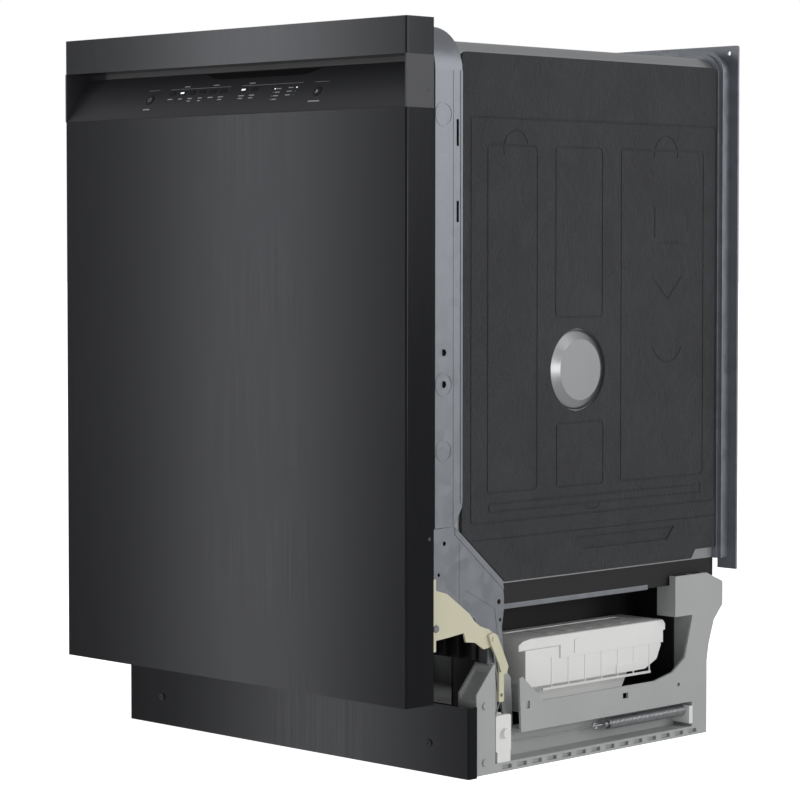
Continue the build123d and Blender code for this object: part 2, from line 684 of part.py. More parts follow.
def tub_parts():
    write("front_frame", front_frame())
    write("tub_wrap", tub_wrap())
    back = round_arch(X_TUB, TUB_TOP, TUB_FLOOR + 4, TUB_CORNER, (TUB_BACK, TUB_BACK + TUB_GAUGE))
    press = block((-X_TUB + 40, X_TUB - 40), (TUB_BACK - 4, TUB_BACK + TUB_GAUGE), (280, TUB_TOP - 60))
    press = press - block(
        (-X_TUB + 41, X_TUB - 41), (TUB_BACK - 3, TUB_BACK + 2), (281, TUB_TOP - 61)
    )
    window = block((-X_TUB + 41, X_TUB - 41), (TUB_BACK - 1, TUB_BACK + 2), (281, TUB_TOP - 61))
    write("tub_back", back - window + press)
    write("tub_floor", tub_floor())
    write("rear_frame", rear_frame())
    mat = insulation()
    write("insulation_right", mat)
    write("insulation_left", mirror(mat, about=Plane.YZ))
    write("hinge_plates", both_sides(hinge_plate()))
    seal_half = OPEN_HALF + 9.0
    span = (LINER_BACK + 0.6, FRAME_FRONT)
    seal = round_arch(seal_half, OPEN_TOP + 9, TUB_FLOOR + 6, 26, span)
    seal = seal - round_arch(seal_half - 8, OPEN_TOP + 1, 0, 18, (0, DEPTH))
    seal = fillet(seal.faces().sort_by(Axis.Y)[0].edges(), 2.5)
    write("door_gasket", seal)


def base_side():
    """The right-hand wall of the base: rail, front pillar, bracket plate and rear post."""
    out = X_BASE
    inner = X_BASE_INNER
    rail = block((inner, out), (KICK_Y + 8, POST_BACK), (0, RAIL_TALL))
    ramp = [
        (PILLAR_FRONT, 0),
        (PILLAR_FRONT, 94),
        (PILLAR_BACK - 3, PILLAR_TOP),
        (PILLAR_BACK, PILLAR_TOP),
        (PILLAR_BACK, 0),
    ]
    pillar = side_plate(ramp, (inner, out))
    hollow = [
        (PILLAR_FRONT - 5, 88),
        (PILLAR_FRONT + 3, 88),
        (PILLAR_BACK - 5, 116),
        (PILLAR_BACK - 5, PILLAR_TOP + 5),
        (PILLAR_FRONT - 5, PILLAR_TOP + 5),
    ]
    pillar = pillar - side_plate(hollow, (inner + BASE_WALL, out - BASE_WALL))
    inner_wall = block((inner, inner + BASE_WALL), (PILLAR_BACK - 1, POST_FRONT + 1), (0, BRACKET_LOW + 3))
    shelf = block((inner, out), (198, POST_FRONT + 1), (BRACKET_LOW, BRACKET_LOW + BASE_WALL))
    bracket = [
        (198, BRACKET_LOW),
        (195, BRACKET_PEAK - 2),
        (200, BRACKET_PEAK),
        (236, BRACKET_TOP),
        (POST_FRONT - 72, BRACKET_TOP),
        (POST_FRONT - 38, 82),
        (POST_FRONT - 14, 98),
        (POST_FRONT + 1, 150),
        (POST_FRONT + 1, BRACKET_LOW),
    ]
    plate = side_plate(bracket, (out - BASE_WALL, out))
    peak = [(198, BRACKET_LOW), (186, 118), (193, 120), (208, 102), (212, BRACKET_LOW)]
    rib = side_plate(peak, (inner, inner + BASE_WALL))
    bay = side_plate([(167, 0), (167, 123), (180, 123), (186, 60), (186, 0)], (inner, inner + BASE_WALL))
    post = block((inner, out), (POST_FRONT, POST_BACK), (0, POST_TOP))
    post = post - block(
        (inner + BASE_WALL, out - BASE_WALL), (POST_FRONT + BASE_WALL, POST_BACK - BASE_WALL), (20, POST_TOP + 5)
    )
    box_zone = ((inner, out), (POST_FRONT - 33, POST_FRONT + 1), (150, POST_TOP))
    top_box = block(*box_zone) - block(
        (inner + BASE_WALL, out - BASE_WALL), (POST_FRONT - 30, POST_FRONT - 1), (153, POST_TOP + 5)
    )
    flare = [
        (POST_BACK - 1, POST_TOP),
        (POST_BACK + 31, 187),
        (POST_BACK + 31, 158),
        (POST_BACK + 14, 140),
        (POST_BACK + 4, 112),
        (POST_BACK - 1, 85),
    ]
    flare = side_plate(flare, (inner, out))
    side = rail + pillar + inner_wall + shelf + plate + rib + bay + post + top_box + flare
    cuts = [
        block((out - BASE_WALL - 1, out + 1), (207, 213), (68.5, 77.5)),
        block((out - BASE_WALL - 1, out + 1), (380, 390), (60, 67)),
        rod_x((out - BASE_WALL - 1, out + 1), POST_FRONT - 26, 66, 2.5),
    ]
    count = 14
    pitch = (POST_BACK - 22 - PILLAR_BACK) / count
    for step in range(count):
        low = PILLAR_BACK + 12 + pitch * step
        cuts.append(block((out - 4, out + 1), (low, low + pitch * 0.62), (3, 8)))
    cuts.append(block((0, X_TUB + 0.6), (POST_FRONT - 40, DEPTH), (TUB_FLOOR - 2.4, POST_TOP + 5)))
    for y, z in PILLAR_SCREWS:
        cuts.append(rod_x((out - SCREW_LONG, out + 1), y, z, SCREW_SHANK))
    for cut in cuts:
        side = side - cut
    return side


SCREW_SHANK = 1.9
SCREW_HEAD = 4.2
SCREW_LONG = 12.0
PILLAR_SCREWS = [(135.5, 80.0), (135.5, 14.5)]
KICK_SCREW_X = HALF - 63.0
KICK_SCREW_Z = 35.0
FOOT_R = 16.0
FOOT_STEM = 5.0
FRONT_FOOT = (X_BASE_INNER - 24.0, 145.0)
REAR_FOOT = (0.0, POST_BACK - 60.0)
FOOT_HOLES = [FRONT_FOOT, (-FRONT_FOOT[0], FRONT_FOOT[1]), REAR_FOOT]


def base_tray():
    """The moulded base: both side walls, the front wall and the drip tray between them."""
    right = base_side()
    inner = X_BASE_INNER
    tray = block((-inner - 1, inner + 1), (PILLAR_FRONT, POST_BACK), (8, 11))
    back = block((-inner - 1, inner + 1), (POST_BACK - 3, POST_BACK), (8, 60))
    front = block((-X_BASE, X_BASE), (KICK_Y + 8, KICK_Y + 11), (0, 72))
    links = block((X_BASE - 20, X_BASE), (KICK_Y + 8, PILLAR_FRONT + 2), (0, 60))
    base = tray + back + front
    for piece in both_sides(right) + both_sides(links):
        base = base + piece
    for x, y in FOOT_HOLES:
        base = base + rod_z(x, y, (10, 46), FOOT_STEM + 4)
        base = base - rod_z(x, y, (0, 47), FOOT_STEM + 0.3)
    for piece in both_sides(
        rod_y(KICK_SCREW_X, (KICK_Y + 1, KICK_Y + SCREW_LONG + 2), KICK_SCREW_Z, SCREW_SHANK)
    ):
        base = base - piece
    return base


def foot(x, y):
    """A levelling foot: a round pad under a threaded stem."""
    pad = rod_z(x, y, (0, 6), FOOT_R)
    pad = fillet(pad.edges().sort_by(Axis.Z)[0], 1)
    return pad + rod_z(x, y, (6, 60), FOOT_STEM)


def screw_x(x, y, z):
    """A pan-head screw that enters a right-hand wall from outside."""
    head = rod_x((x, x + 2.2), y, z, SCREW_HEAD)
    head = fillet(head.edges().sort_by(Axis.X)[-1], 1.2)
    return head + rod_x((x - SCREW_LONG + 1, x + 0.5), y, z, SCREW_SHANK)


def screws():
    """The kick plate's two screws and the two in each pillar."""
    made = []
    for y, z in PILLAR_SCREWS:
        made += both_sides(screw_x(X_BASE, y, z))
    head = rod_y(KICK_SCREW_X, (KICK_Y - 1.8, KICK_Y), KICK_SCREW_Z, SCREW_HEAD)
    head = fillet(head.edges().sort_by(Axis.Y)[0], 1.0)
    kick = head + rod_y(KICK_SCREW_X, (KICK_Y - 0.5, KICK_Y + SCREW_LONG), KICK_SCREW_Z, SCREW_SHANK)
    return made + both_sides(kick)


def kick_plate():
    """The black plinth panel with a short return on each side and a rolled top."""
    back = KICK_Y + KICK_RETURN
    shell = block((-HALF + 0.4, HALF - 0.4), (KICK_Y, back), (0, KICK_TOP))
    shell = fillet(shell.edges().filter_by(Axis.Z).group_by(Axis.Y)[0], 2)
    inside = block((-HALF + 2, HALF - 2), (KICK_Y + 1.6, back + 1), (-1, KICK_TOP - 1.6))
    top_gap = block((-HALF + 2, HALF - 2), (KICK_Y + 7, back + 1), (KICK_TOP - 5, KICK_TOP + 1))
    shell = shell - inside - top_gap
    for piece in both_sides(rod_y(KICK_SCREW_X, (KICK_Y - 1, KICK_Y + 5), KICK_SCREW_Z, SCREW_SHANK + 0.1)):
        shell = shell - piece
    return shell


def pulley_housing():
    """The white block with a slot for the pulley, standing on the rail."""
    low = X_BASE_INNER + BASE_WALL + 0.2
    body = block((low, X_BASE - 0.5), (155.4, 181), (RAIL_TALL + 12, 66))
    body = fillet(body.edges().filter_by(Axis.X), 3)
    slot = block((PULLEY_X[0] - 0.5, PULLEY_X[1] + 0.5), (150, 190), (RAIL_TALL + 15, 70))
    spindle = rod_x((low, X_BASE + 4.5), PULLEY_Y, PULLEY_Z, 5.8)
    foot_block = block((low, X_BASE - 0.5), (158, 180), (RAIL_TALL, RAIL_TALL + 13))
    return body - slot + spindle + foot_block


PULLEY_X = (X_BASE - 15.0, X_BASE - 7.0)
CORD_X = (PULLEY_X[0] + PULLEY_X[1]) / 2


def pulley():
    """A grooved wheel that turns the cord from the link to the spring."""
    wheel = rod_x(PULLEY_X, PULLEY_Y, PULLEY_Z, PULLEY_R)
    groove = Pos(CORD_X, PULLEY_Y, PULLEY_Z) * Rot(0, 90, 0) * Torus(PULLEY_R, CORD_R + 1.0)
    return wheel - groove - rod_x((CORD_X - 9, CORD_X + 9), PULLEY_Y, PULLEY_Z, 5.8 + BORE_PLAY)


HOLDER_LOW = 82.0
HOOK_FRONT = SPRING_FRONT - 25.0


def balance_link():
    """The cast link on the arm's pin, with the cord holder at its lower end."""
    x = (X_LINK, X_LINK + 3.0)
    outline = [(142, 161), (149, 163.5), (156, 160), (161, 150)]
    outline += [(175, 122), (172, 114), (164, 113), (158, 128)]
    outline += [(146, 149.5)]
    link = side_plate(outline, x)
    pin = rod_x((X_ARM + 0.1, X_LINK + 4.6), LINK_PIN_Y, LINK_PIN_Z, 2.3)
    holder = block((X_LINK, X_LINK + 4.0), (158, 166), (HOLDER_LOW, 117))
    holder = fillet(holder.edges().filter_by(Axis.X), 2)
    eye = rod_x((X_LINK - 1, X_LINK + 5), 162, HOLDER_LOW + 8, 2.2)
    return link + pin + holder - eye


def cord_route():
    """The balance cord's line: down from the link, round under the pulley, and back to the hook."""
    x = CORD_X
    front = PULLEY_Y - CORD_RUN
    return [
        (X_LINK + 2.0, 162.0, HOLDER_LOW - 0.8),
        (x, front, PULLEY_Z + 16),
        (x, front, SPRING_Z),
        (x, HOOK_FRONT - 1.2, SPRING_Z),
    ]


def balance_cord():
    """The thin steel cord as one solid tube along its route."""
    path = FilletPolyline(*cord_route(), radius=[6.0, CORD_RUN])
    start = Plane(origin=path @ 0, z_dir=path % 0)
    return sweep(start * Circle(CORD_R), path=path)


def spring_hook():
    """The eye and hook between the cord and the spring."""
    bar = rod_y(CORD_X, (HOOK_FRONT, SPRING_FRONT - 0.2), SPRING_Z, 1.6)
    eye = Pos(CORD_X, HOOK_FRONT + 4, SPRING_Z) * Rot(0, 90, 0) * Torus(3.4, 1.3)
    cap = rod_y(CORD_X, (SPRING_FRONT - 6, SPRING_FRONT - 0.2), SPRING_Z, 4.2)
    return bar + eye + cap


def spring_tube():
    """The coil spring as the closed sleeve that its turns fill."""
    back = SPRING_FRONT + SPRING_LONG
    return rod_y(CORD_X, (SPRING_FRONT, back), SPRING_Z, SPRING_R) - rod_y(
        CORD_X, (SPRING_FRONT - 1, back + 1), SPRING_Z, SPRING_R - 2
    )


def spring_anchor():
    """The white block that holds the rear end of the spring."""
    front = SPRING_FRONT + SPRING_LONG + 0.2
    low = X_BASE_INNER + BASE_WALL + 0.2
    body = block((low, X_BASE + 1.4), (front, POST_FRONT - 0.2), (RAIL_TALL + 4, RAIL_TALL + 26))
    return fillet(body.edges().filter_by(Axis.X), min(2, (POST_FRONT - front) / 4))


SHIELD_X = X_BASE_INNER - 65.0
SHIELD_FRONT = 182.0


def front_crossmember():
    """The ribbed black beam under the tub's mouth, and the two black shields behind it."""
    half = X_BASE_INNER - 3.0
    beam = block((-half, half), (160, 176), (126, 172))
    beam = beam - block((-half + 3, half - 3), (164, 177), (129, 169))
    count = 24
    pitch = (2 * half - 12) / count
    ribs = [
        block((-half + 6 + pitch * step, -half + 9 + pitch * step), (151, 160.5), (128, 170))
        for step in range(count + 1)
    ]
    for rib in ribs:
        beam = beam + rib
    foot_block = block((half - 20, half), (162, 176), (11, 127))
    for piece in both_sides(foot_block):
        beam = beam + piece
    low, high = (11.0, TUB_FLOOR - 3.0)
    right = block((SHIELD_X - 3, SHIELD_X), (SHIELD_FRONT, POST_FRONT), (low, high))
    left = block((-half + 19, -half + 22), (SHIELD_FRONT, POST_FRONT), (low, high))
    return [beam, right, left]


def base_parts():
    write("base_tray", base_tray())
    write("front_crossmember", front_crossmember())
    write("kick_plate", kick_plate())
    write("case_screws", screws())
    write("pulley_housings", both_sides(pulley_housing()))
    write("pulleys", both_sides(pulley()))
    write("balance_links", both_sides(balance_link()))
    write("balance_cords", both_sides(balance_cord()))
    write("spring_hooks", both_sides(spring_hook()))
    write("balance_springs", both_sides(spring_tube()))
    write("spring_anchors", both_sides(spring_anchor()))
    for name, place in zip(("foot_front_right", "foot_front_left", "foot_rear"), FOOT_HOLES):
        write(name, foot(*place))


BOX_OUT = X_BASE_INNER + 10.0
BOX_WIDE = 68.0
BOX_FRONT = 226.0
BOX_BACK = POST_FRONT - 38.0
BOX_LOW = 88.0
BOX_FOOT = 58.0
BOX_TOP = 132.0
LID_TOP = 146.0


def module_box():
    """The white housing for the electronics, shelled and open above, with a rounded rear end."""
    x = (BOX_OUT - BOX_WIDE, BOX_OUT)
    outline = [
        (BOX_FRONT, BOX_TOP),
        (BOX_FRONT, BOX_LOW),
        (BOX_BACK - 30, BOX_LOW),
        (BOX_BACK - 8, BOX_LOW + 10),
        (BOX_BACK, BOX_LOW + 26),
        (BOX_BACK, BOX_TOP),
    ]
    body = side_plate(outline, x)
    body = fillet(body.edges().filter_by(Axis.X).group_by(Axis.Z)[0], 4)
    inside = block(
        (x[0] + 2, x[1] - 2), (BOX_FRONT + 2, BOX_BACK - 2), (BOX_LOW + 28, BOX_TOP + 1)
    )
    foot_x = (x[0] + 4, X_BASE_INNER - 3)
    foot_outline = [
        (BOX_FRONT + 4, BOX_LOW + 4),
        (BOX_FRONT + 4, BOX_FOOT),
        (BOX_BACK - 100, BOX_FOOT),
        (BOX_BACK - 60, BOX_FOOT + 8),
        (BOX_BACK - 44, BOX_LOW + 4),
    ]
    return body - inside + side_plate(foot_outline, foot_x)


def module_lid():
    """The stepped lid of the electronics housing, with a long clip along its side."""
    x = (BOX_OUT - BOX_WIDE - 2, BOX_OUT + 2)
    outline = [
        (BOX_FRONT - 14, BOX_TOP + 0.2),
        (BOX_FRONT - 14, BOX_TOP + 8),
        (BOX_FRONT - 6, LID_TOP - 2),
        (BOX_FRONT + 10, LID_TOP),
        (BOX_BACK + 2, LID_TOP),
        (BOX_BACK + 6, LID_TOP - 6),
        (BOX_BACK + 6, BOX_TOP + 0.2),
    ]
    lid = side_plate(outline, x)
    lid = fillet(lid.edges().filter_by(Axis.Y), 2.5)
    skirt = block((x[1] - 1.6, x[1]), (BOX_FRONT + 60, BOX_BACK + 2), (BOX_TOP - 14, BOX_TOP + 4))
    clip = block((x[1] - 0.2, x[1] + 1.4), (BOX_FRONT + 84, BOX_FRONT + 112), (BOX_TOP - 10, BOX_TOP + 6))
    panel = block((x[0] + 14, x[1] - 14), (BOX_FRONT + 20, BOX_BACK - 20), (LID_TOP - 1, LID_TOP + 1))
    return lid + skirt + clip - panel


PUMP_Z = TUB_FLOOR - FUNNEL_DEEP - 36.0
DRAIN_Z = TUB_FLOOR - FUNNEL_DEEP - 36.0


def sump():
    """The bowl under the floor's funnel, with a port to each pump."""
    low = TUB_FLOOR - FUNNEL_DEEP - 62.0
    high = TUB_FLOOR - FUNNEL_DEEP - 0.2
    bowl = rod_z(0, SUMP_Y, (low, high), SUMP_R)
    port = rod_x((-SUMP_R - 12, -SUMP_R + 20), SUMP_Y, PUMP_Z, 20)
    drain = rod_y(0, (SUMP_Y - SUMP_R - 12, SUMP_Y - SUMP_R + 20), DRAIN_Z, 14)
    inside = rod_z(0, SUMP_Y, (low + 3, high + 1), SUMP_R - 3)
    return bowl + port + drain - inside


INLET_R = 13.2
INLET_Z = 96.0
DRAIN_SPIGOT_R = 10.5
DRAIN_SPIGOT_Z = 128.0


def circulation_pump():
    """The washing pump and its motor, on the left of the sump."""
    end = -SUMP_R - 12.2
    volute = rod_x((end - 34, end), SUMP_Y, PUMP_Z, 34)
    volute = fillet(volute.edges(), 5)
    motor = rod_x((end - 104, end - 33), SUMP_Y, PUMP_Z, 29)
    cap = rod_x((end - 112, end - 103), SUMP_Y, PUMP_Z, 20)
    return volute + motor + cap


def drain_pump():
    """The small pump in front of the sump."""
    end = SUMP_Y - SUMP_R - 12.2
    housing = rod_y(0, (end - 24, end), DRAIN_Z, 24)
    motor = block((-19, 19), (end - 46, end - 23), (DRAIN_Z - 19, DRAIN_Z + 19))
    return housing + motor


FILTER_R = 44.0


def filter_cup():
    """The removable coarse filter: an open cylinder with a handle across its top."""
    low = TUB_FLOOR - FUNNEL_DEEP - 50.0
    top = TUB_FLOOR - FUNNEL_DEEP + 16.0
    cup = rod_z(0, SUMP_Y, (low, top), FILTER_R) - rod_z(0, SUMP_Y, (low + 2, top + 1), FILTER_R - 2)
    handle = block((-FILTER_R + 1, FILTER_R - 1), (SUMP_Y - 3, SUMP_Y + 3), (top - 8, top))
    return cup + handle


def filter_plate():
    """The round fine-filter plate in the funnel."""
    low = TUB_FLOOR - FUNNEL_DEEP + 9.0
    ring = rod_z(0, SUMP_Y, (low, low + 1.4), SUMP_R + 20)
    return ring - rod_z(0, SUMP_Y, (low - 1, low + 3), FILTER_R + 0.5)


PIPE_R = 7.0
ARM_Z = TUB_FLOOR + 17.0
PIPE_BACK = TUB_BACK - 14.0
UPPER_ARM_Z = UPPER_RACK_Z - 12.0


def feed_pipe():
    """The pipe that runs over the floor and up the tub's back to the upper spray arm."""
    z = TUB_FLOOR + PIPE_R + 0.4
    start = SUMP_Y + FUNNEL_R + 6
    points = [
        (0, start, z),
        (0, PIPE_BACK, z),
        (0, PIPE_BACK, UPPER_ARM_Z + 26),
        (0, TUB_BACK - 38, UPPER_ARM_Z + 26),
    ]
    path = FilletPolyline(*points, radius=13.0)
    pipe = sweep(Plane(origin=path @ 0, z_dir=path % 0) * Circle(PIPE_R), path=path)
    mouth = rod_y(0, (TUB_BACK - 43, TUB_BACK - 37), UPPER_ARM_Z + 26, PIPE_R + 4)
    return pipe + mouth


def spray_arm(z, reach, turn):
    """A flat two-bladed spray arm with a round hub."""
    blade = SlotOverall(2 * reach, 36)
    arm = extrude(Pos(0, SUMP_Y, z) * Rot(0, 0, turn) * blade, amount=8)
    arm = fillet(arm.edges().filter_by(GeomType.LINE), 3)
    hub = rod_z(0, SUMP_Y, (z - 0.01, z + 9), 24)
    bore = rod_z(0, SUMP_Y, (z - 1, z + 12), HUB_PIN_R + BORE_PLAY)
    return arm + hub - bore


HUB_PIN_R = 8.0
ARM_REACH = (PIPE_BACK - PIPE_R) - SUMP_Y - 8.0


def hub_post():
    """The post through the filter that the lower spray arm turns on."""
    low = TUB_FLOOR - FUNNEL_DEEP + 16.6
    stem = rod_z(0, SUMP_Y, (low - 3, ARM_Z + 11.6), HUB_PIN_R)
    cap = rod_z(0, SUMP_Y, (ARM_Z + 9.6, ARM_Z + 12.6), 14)
    return stem + cap


RACK_HALF = X_TUB - RACK_SIDE_GAP
RACK_FRONT = 96.0
RACK_BACK = TUB_BACK - 46.0
WHEEL_Z = TUB_FLOOR + 20.0 + FLOOR_PLAY + WHEEL_R
WHEEL_X = (RACK_HALF + 1.0, RACK_HALF + 9.0)
AXLE_R = 3.0
WHEEL_Y = (RACK_FRONT + 60.0, RACK_BACK - 70.0)
RAIL_Z = UPPER_RACK_Z + 46.0
RAIL_FRONT = LINER_DEEP + 3.0
RAIL_BACK = TUB_BACK - 20.0
RUNNER_OUT = OPEN_HALF - 2.0


def rack_shell(low, tall, front_cut):
    """An open rack with thin walls, lower at the front, whose space is free for dishes."""
    outer = block((-RACK_HALF, RACK_HALF), (RACK_FRONT, RACK_BACK), (low, low + tall))
    outer = fillet(outer.edges().filter_by(Axis.Z), RACK_CORNER)
    inner = block(
        (-RACK_HALF + RACK_WALL, RACK_HALF - RACK_WALL),
        (RACK_FRONT + RACK_WALL, RACK_BACK - RACK_WALL),
        (low + RACK_WALL, low + tall + 1),
    )
    inner = fillet(inner.edges().filter_by(Axis.Z), RACK_CORNER - RACK_WALL)
    notch = block(
        (-RACK_HALF + 60, RACK_HALF - 60),
        (RACK_FRONT - 1, RACK_FRONT + 5),
        (low + tall - front_cut, low + tall + 1),
    )
    return outer - inner - notch


def lower_rack():
    """The lower rack with the axles for its wheels."""
    rack = rack_shell(LOWER_RACK_Z, LOWER_RACK_TALL, 45)
    for y in WHEEL_Y:
        for piece in both_sides(rod_x((RACK_HALF - 2, WHEEL_X[1] + 0.6), y, WHEEL_Z, AXLE_R)):
            rack = rack + piece
        lug = block((RACK_HALF - RACK_WALL, RACK_HALF), (y - 5, y + 5), (WHEEL_Z, LOWER_RACK_Z + 20))
        for piece in both_sides(lug):
            rack = rack + piece
    return rack


def upper_rack():
    """The upper rack with its side runners, its feed tube and the pin for its spray arm."""
    rack = rack_shell(UPPER_RACK_Z, UPPER_RACK_TALL, 35)
    runner = block((RACK_HALF - 1, RUNNER_OUT), (RACK_FRONT + 24, RACK_BACK), (RAIL_Z - 9, RAIL_Z + 9))
    for piece in both_sides(runner):
        rack = rack + piece
    tube = rod_y(0, (SUMP_Y - 10, TUB_BACK - 44), UPPER_ARM_Z + 26, PIPE_R)
    lift = rod_z(0, SUMP_Y, (UPPER_ARM_Z - 3, UPPER_ARM_Z + 28), HUB_PIN_R)
    cap = rod_z(0, SUMP_Y, (UPPER_ARM_Z - 4, UPPER_ARM_Z - 1), 14)
    collar = rod_z(0, SUMP_Y, (UPPER_ARM_Z + 9.4, UPPER_RACK_Z + 1), 12)
    return rack + tube + lift + cap + collar


def wheel_pair(y):
    """Two rack wheels on one line."""
    wheel = rod_x(WHEEL_X, y, WHEEL_Z, WHEEL_R)
    wheel = fillet(wheel.edges(), 1.5)
    return both_sides(wheel - rod_x((WHEEL_X[0] - 1, WHEEL_X[1] + 1), y, WHEEL_Z, AXLE_R + BORE_PLAY))


def rack_rails():
    """The upper rack's channels and the ledges that the lower rack's wheels roll on."""
    side = X_TUB - TUB_GAUGE - 0.2
    channel = block((RACK_HALF + 2, side), (RAIL_FRONT, RAIL_BACK), (RAIL_Z - 13, RAIL_Z + 13))
    groove = block((RACK_HALF, side - 4), (RAIL_FRONT - 1, RAIL_BACK + 1), (RAIL_Z - 10, RAIL_Z + 10))
    ledge = block((WHEEL_X[0] - 2, side - 2.2), (RAIL_FRONT, RAIL_BACK), (TUB_FLOOR + 18.2, TUB_FLOOR + 20))
    return both_sides(channel - groove) + both_sides(ledge)


BASKET_X = (-70.0, 70.0)
BASKET_Y = (RACK_FRONT + 12.0, RACK_FRONT + 90.0)


def cutlery_basket():
    """The cutlery basket that stands in the front of the lower rack."""
    low = LOWER_RACK_Z + RACK_WALL + 0.2
    outer = block(BASKET_X, BASKET_Y, (low, low + 118))
    outer = fillet(outer.edges().filter_by(Axis.Z), 8)
    basket = outer
    middle = (BASKET_X[0] + BASKET_X[1]) / 2
    for x in ((BASKET_X[0] + 2, middle - 1), (middle + 1, BASKET_X[1] - 2)):
        basket = basket - block(x, (BASKET_Y[0] + 2, BASKET_Y[1] - 2), (low + 2, low + 120))
    mid_y = (BASKET_Y[0] + BASKET_Y[1]) / 2
    handle = block((middle - 1, middle + 1), (mid_y - 24, mid_y + 24), (low + 116, low + 146))
    handle = handle - block((middle - 3, middle + 3), (mid_y - 16, mid_y + 16), (low + 119, low + 138))
    return basket + handle


def inlet_valve():
    """The water valve at the rear of the base, with its threaded inlet and the drain spigot."""
    x = -X_BASE_INNER + 60.0
    wall = POST_BACK + 0.2
    body = block((x - 26, x + 26), (wall - 48, wall - 3.2), (70, 112))
    inlet = rod_y(x, (wall - 4, wall + 16), INLET_Z, INLET_R)
    inlet = inlet - rod_y(x, (wall, wall + 17), INLET_Z, INLET_R - 3)
    drain = rod_y(x + 60, (wall - 9, wall + 26), DRAIN_SPIGOT_Z, DRAIN_SPIGOT_R)
    drain = drain - rod_y(x + 60, (wall - 5, wall + 27), DRAIN_SPIGOT_Z, DRAIN_SPIGOT_R - 2.5)
    bridge = block((x + 20, x + 74), (wall - 20, wall - 8), (96, DRAIN_SPIGOT_Z + 14))
    foot_block = block((x - 20, x + 20), (wall - 40, wall - 6), (11, 71))
    return body + inlet + drain + bridge + foot_block


def inner_parts():
    write("module_box", module_box())
    write("module_box_lid", module_lid())
    write("sump", sump())
    write("circulation_pump", circulation_pump())
    write("drain_pump", drain_pump())
    cup = filter_cup()
    write("filter_cup", cup + hub_post())
    write("filter_plate", filter_plate())
    write("feed_pipe", feed_pipe())
    write("lower_spray_arm", spray_arm(ARM_Z, ARM_REACH, 30))
    write("upper_spray_arm", spray_arm(UPPER_ARM_Z, ARM_REACH, 65))
    write("lower_rack", lower_rack())
    write("upper_rack", upper_rack())
    write("cutlery_basket", cutlery_basket())
    write("lower_wheels_front", wheel_pair(WHEEL_Y[0]))
    write("lower_wheels_rear", wheel_pair(WHEEL_Y[1]))
    write("rack_rails", rack_rails())
    write("inlet_valve", inlet_valve())


door_parts()
tub_parts()
base_parts()
inner_parts()
print(len(PIECES), "nodes written")
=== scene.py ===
# %% [markdown]
# Built-in dishwasher: the looks around a finished mechanical model.
#
# The mechanical model already has every piece at its true size and place, as one object for each
# piece. This lesson gives each piece its finish, swaps the plain stand-ins for detailed meshes
# where the real thing is made of wire, coils or print, and sets up a plain studio.
# Everything is in metres, with X to the right, the door facing -Y, and Z up from the floor.

# %% Load the model and keep its box
import json
import math

import bpy
import bmesh
from mathutils import Matrix, Vector


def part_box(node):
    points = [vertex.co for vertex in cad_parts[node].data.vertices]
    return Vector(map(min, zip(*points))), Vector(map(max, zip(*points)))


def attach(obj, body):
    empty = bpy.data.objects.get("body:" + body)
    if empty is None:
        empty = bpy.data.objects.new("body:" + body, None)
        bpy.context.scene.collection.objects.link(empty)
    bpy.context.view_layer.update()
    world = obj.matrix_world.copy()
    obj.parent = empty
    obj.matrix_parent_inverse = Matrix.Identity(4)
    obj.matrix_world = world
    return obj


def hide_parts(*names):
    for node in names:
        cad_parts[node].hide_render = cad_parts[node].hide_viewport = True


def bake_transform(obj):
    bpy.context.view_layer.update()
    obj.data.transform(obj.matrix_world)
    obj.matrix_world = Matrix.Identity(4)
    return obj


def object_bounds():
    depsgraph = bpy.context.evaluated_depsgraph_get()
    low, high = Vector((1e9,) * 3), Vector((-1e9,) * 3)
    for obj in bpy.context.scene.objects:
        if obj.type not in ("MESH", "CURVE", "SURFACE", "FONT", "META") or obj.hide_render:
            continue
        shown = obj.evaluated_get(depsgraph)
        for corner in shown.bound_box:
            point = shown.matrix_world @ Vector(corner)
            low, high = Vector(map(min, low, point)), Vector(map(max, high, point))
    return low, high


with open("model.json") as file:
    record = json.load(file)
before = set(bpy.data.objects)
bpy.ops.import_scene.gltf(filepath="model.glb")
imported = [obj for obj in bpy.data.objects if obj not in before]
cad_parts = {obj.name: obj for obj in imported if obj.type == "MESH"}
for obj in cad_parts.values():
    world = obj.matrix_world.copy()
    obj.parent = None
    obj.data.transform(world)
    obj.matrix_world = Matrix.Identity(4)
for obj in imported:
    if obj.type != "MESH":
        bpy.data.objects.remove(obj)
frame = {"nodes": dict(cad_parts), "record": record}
nodes = frame["nodes"]
cad_box = [list(corner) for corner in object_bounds()]
MM = 0.001
low, high = (Vector(corner) for corner in cad_box)
print("pieces in the model:", len(nodes))

# %% [markdown]
# Small mesh helpers. A piece made here keeps its object at the origin and its place in its mesh,
# just as the mechanical pieces do, so patterns that read object coordinates never slide.


# %% Mesh helpers
def add_object(name, mesh, material=None):
    obj = bpy.data.objects.new(name, mesh)
    bpy.context.scene.collection.objects.link(obj)
    if material is not None:
        mesh.materials.clear()
        mesh.materials.append(material)
    return obj


def mesh_from(bm, name, smooth=False):
    bmesh.ops.recalc_face_normals(bm, faces=bm.faces)
    mesh = bpy.data.meshes.new(name)
    bm.to_mesh(mesh)
    bm.free()
    for face in mesh.polygons:
        face.use_smooth = smooth
    return mesh


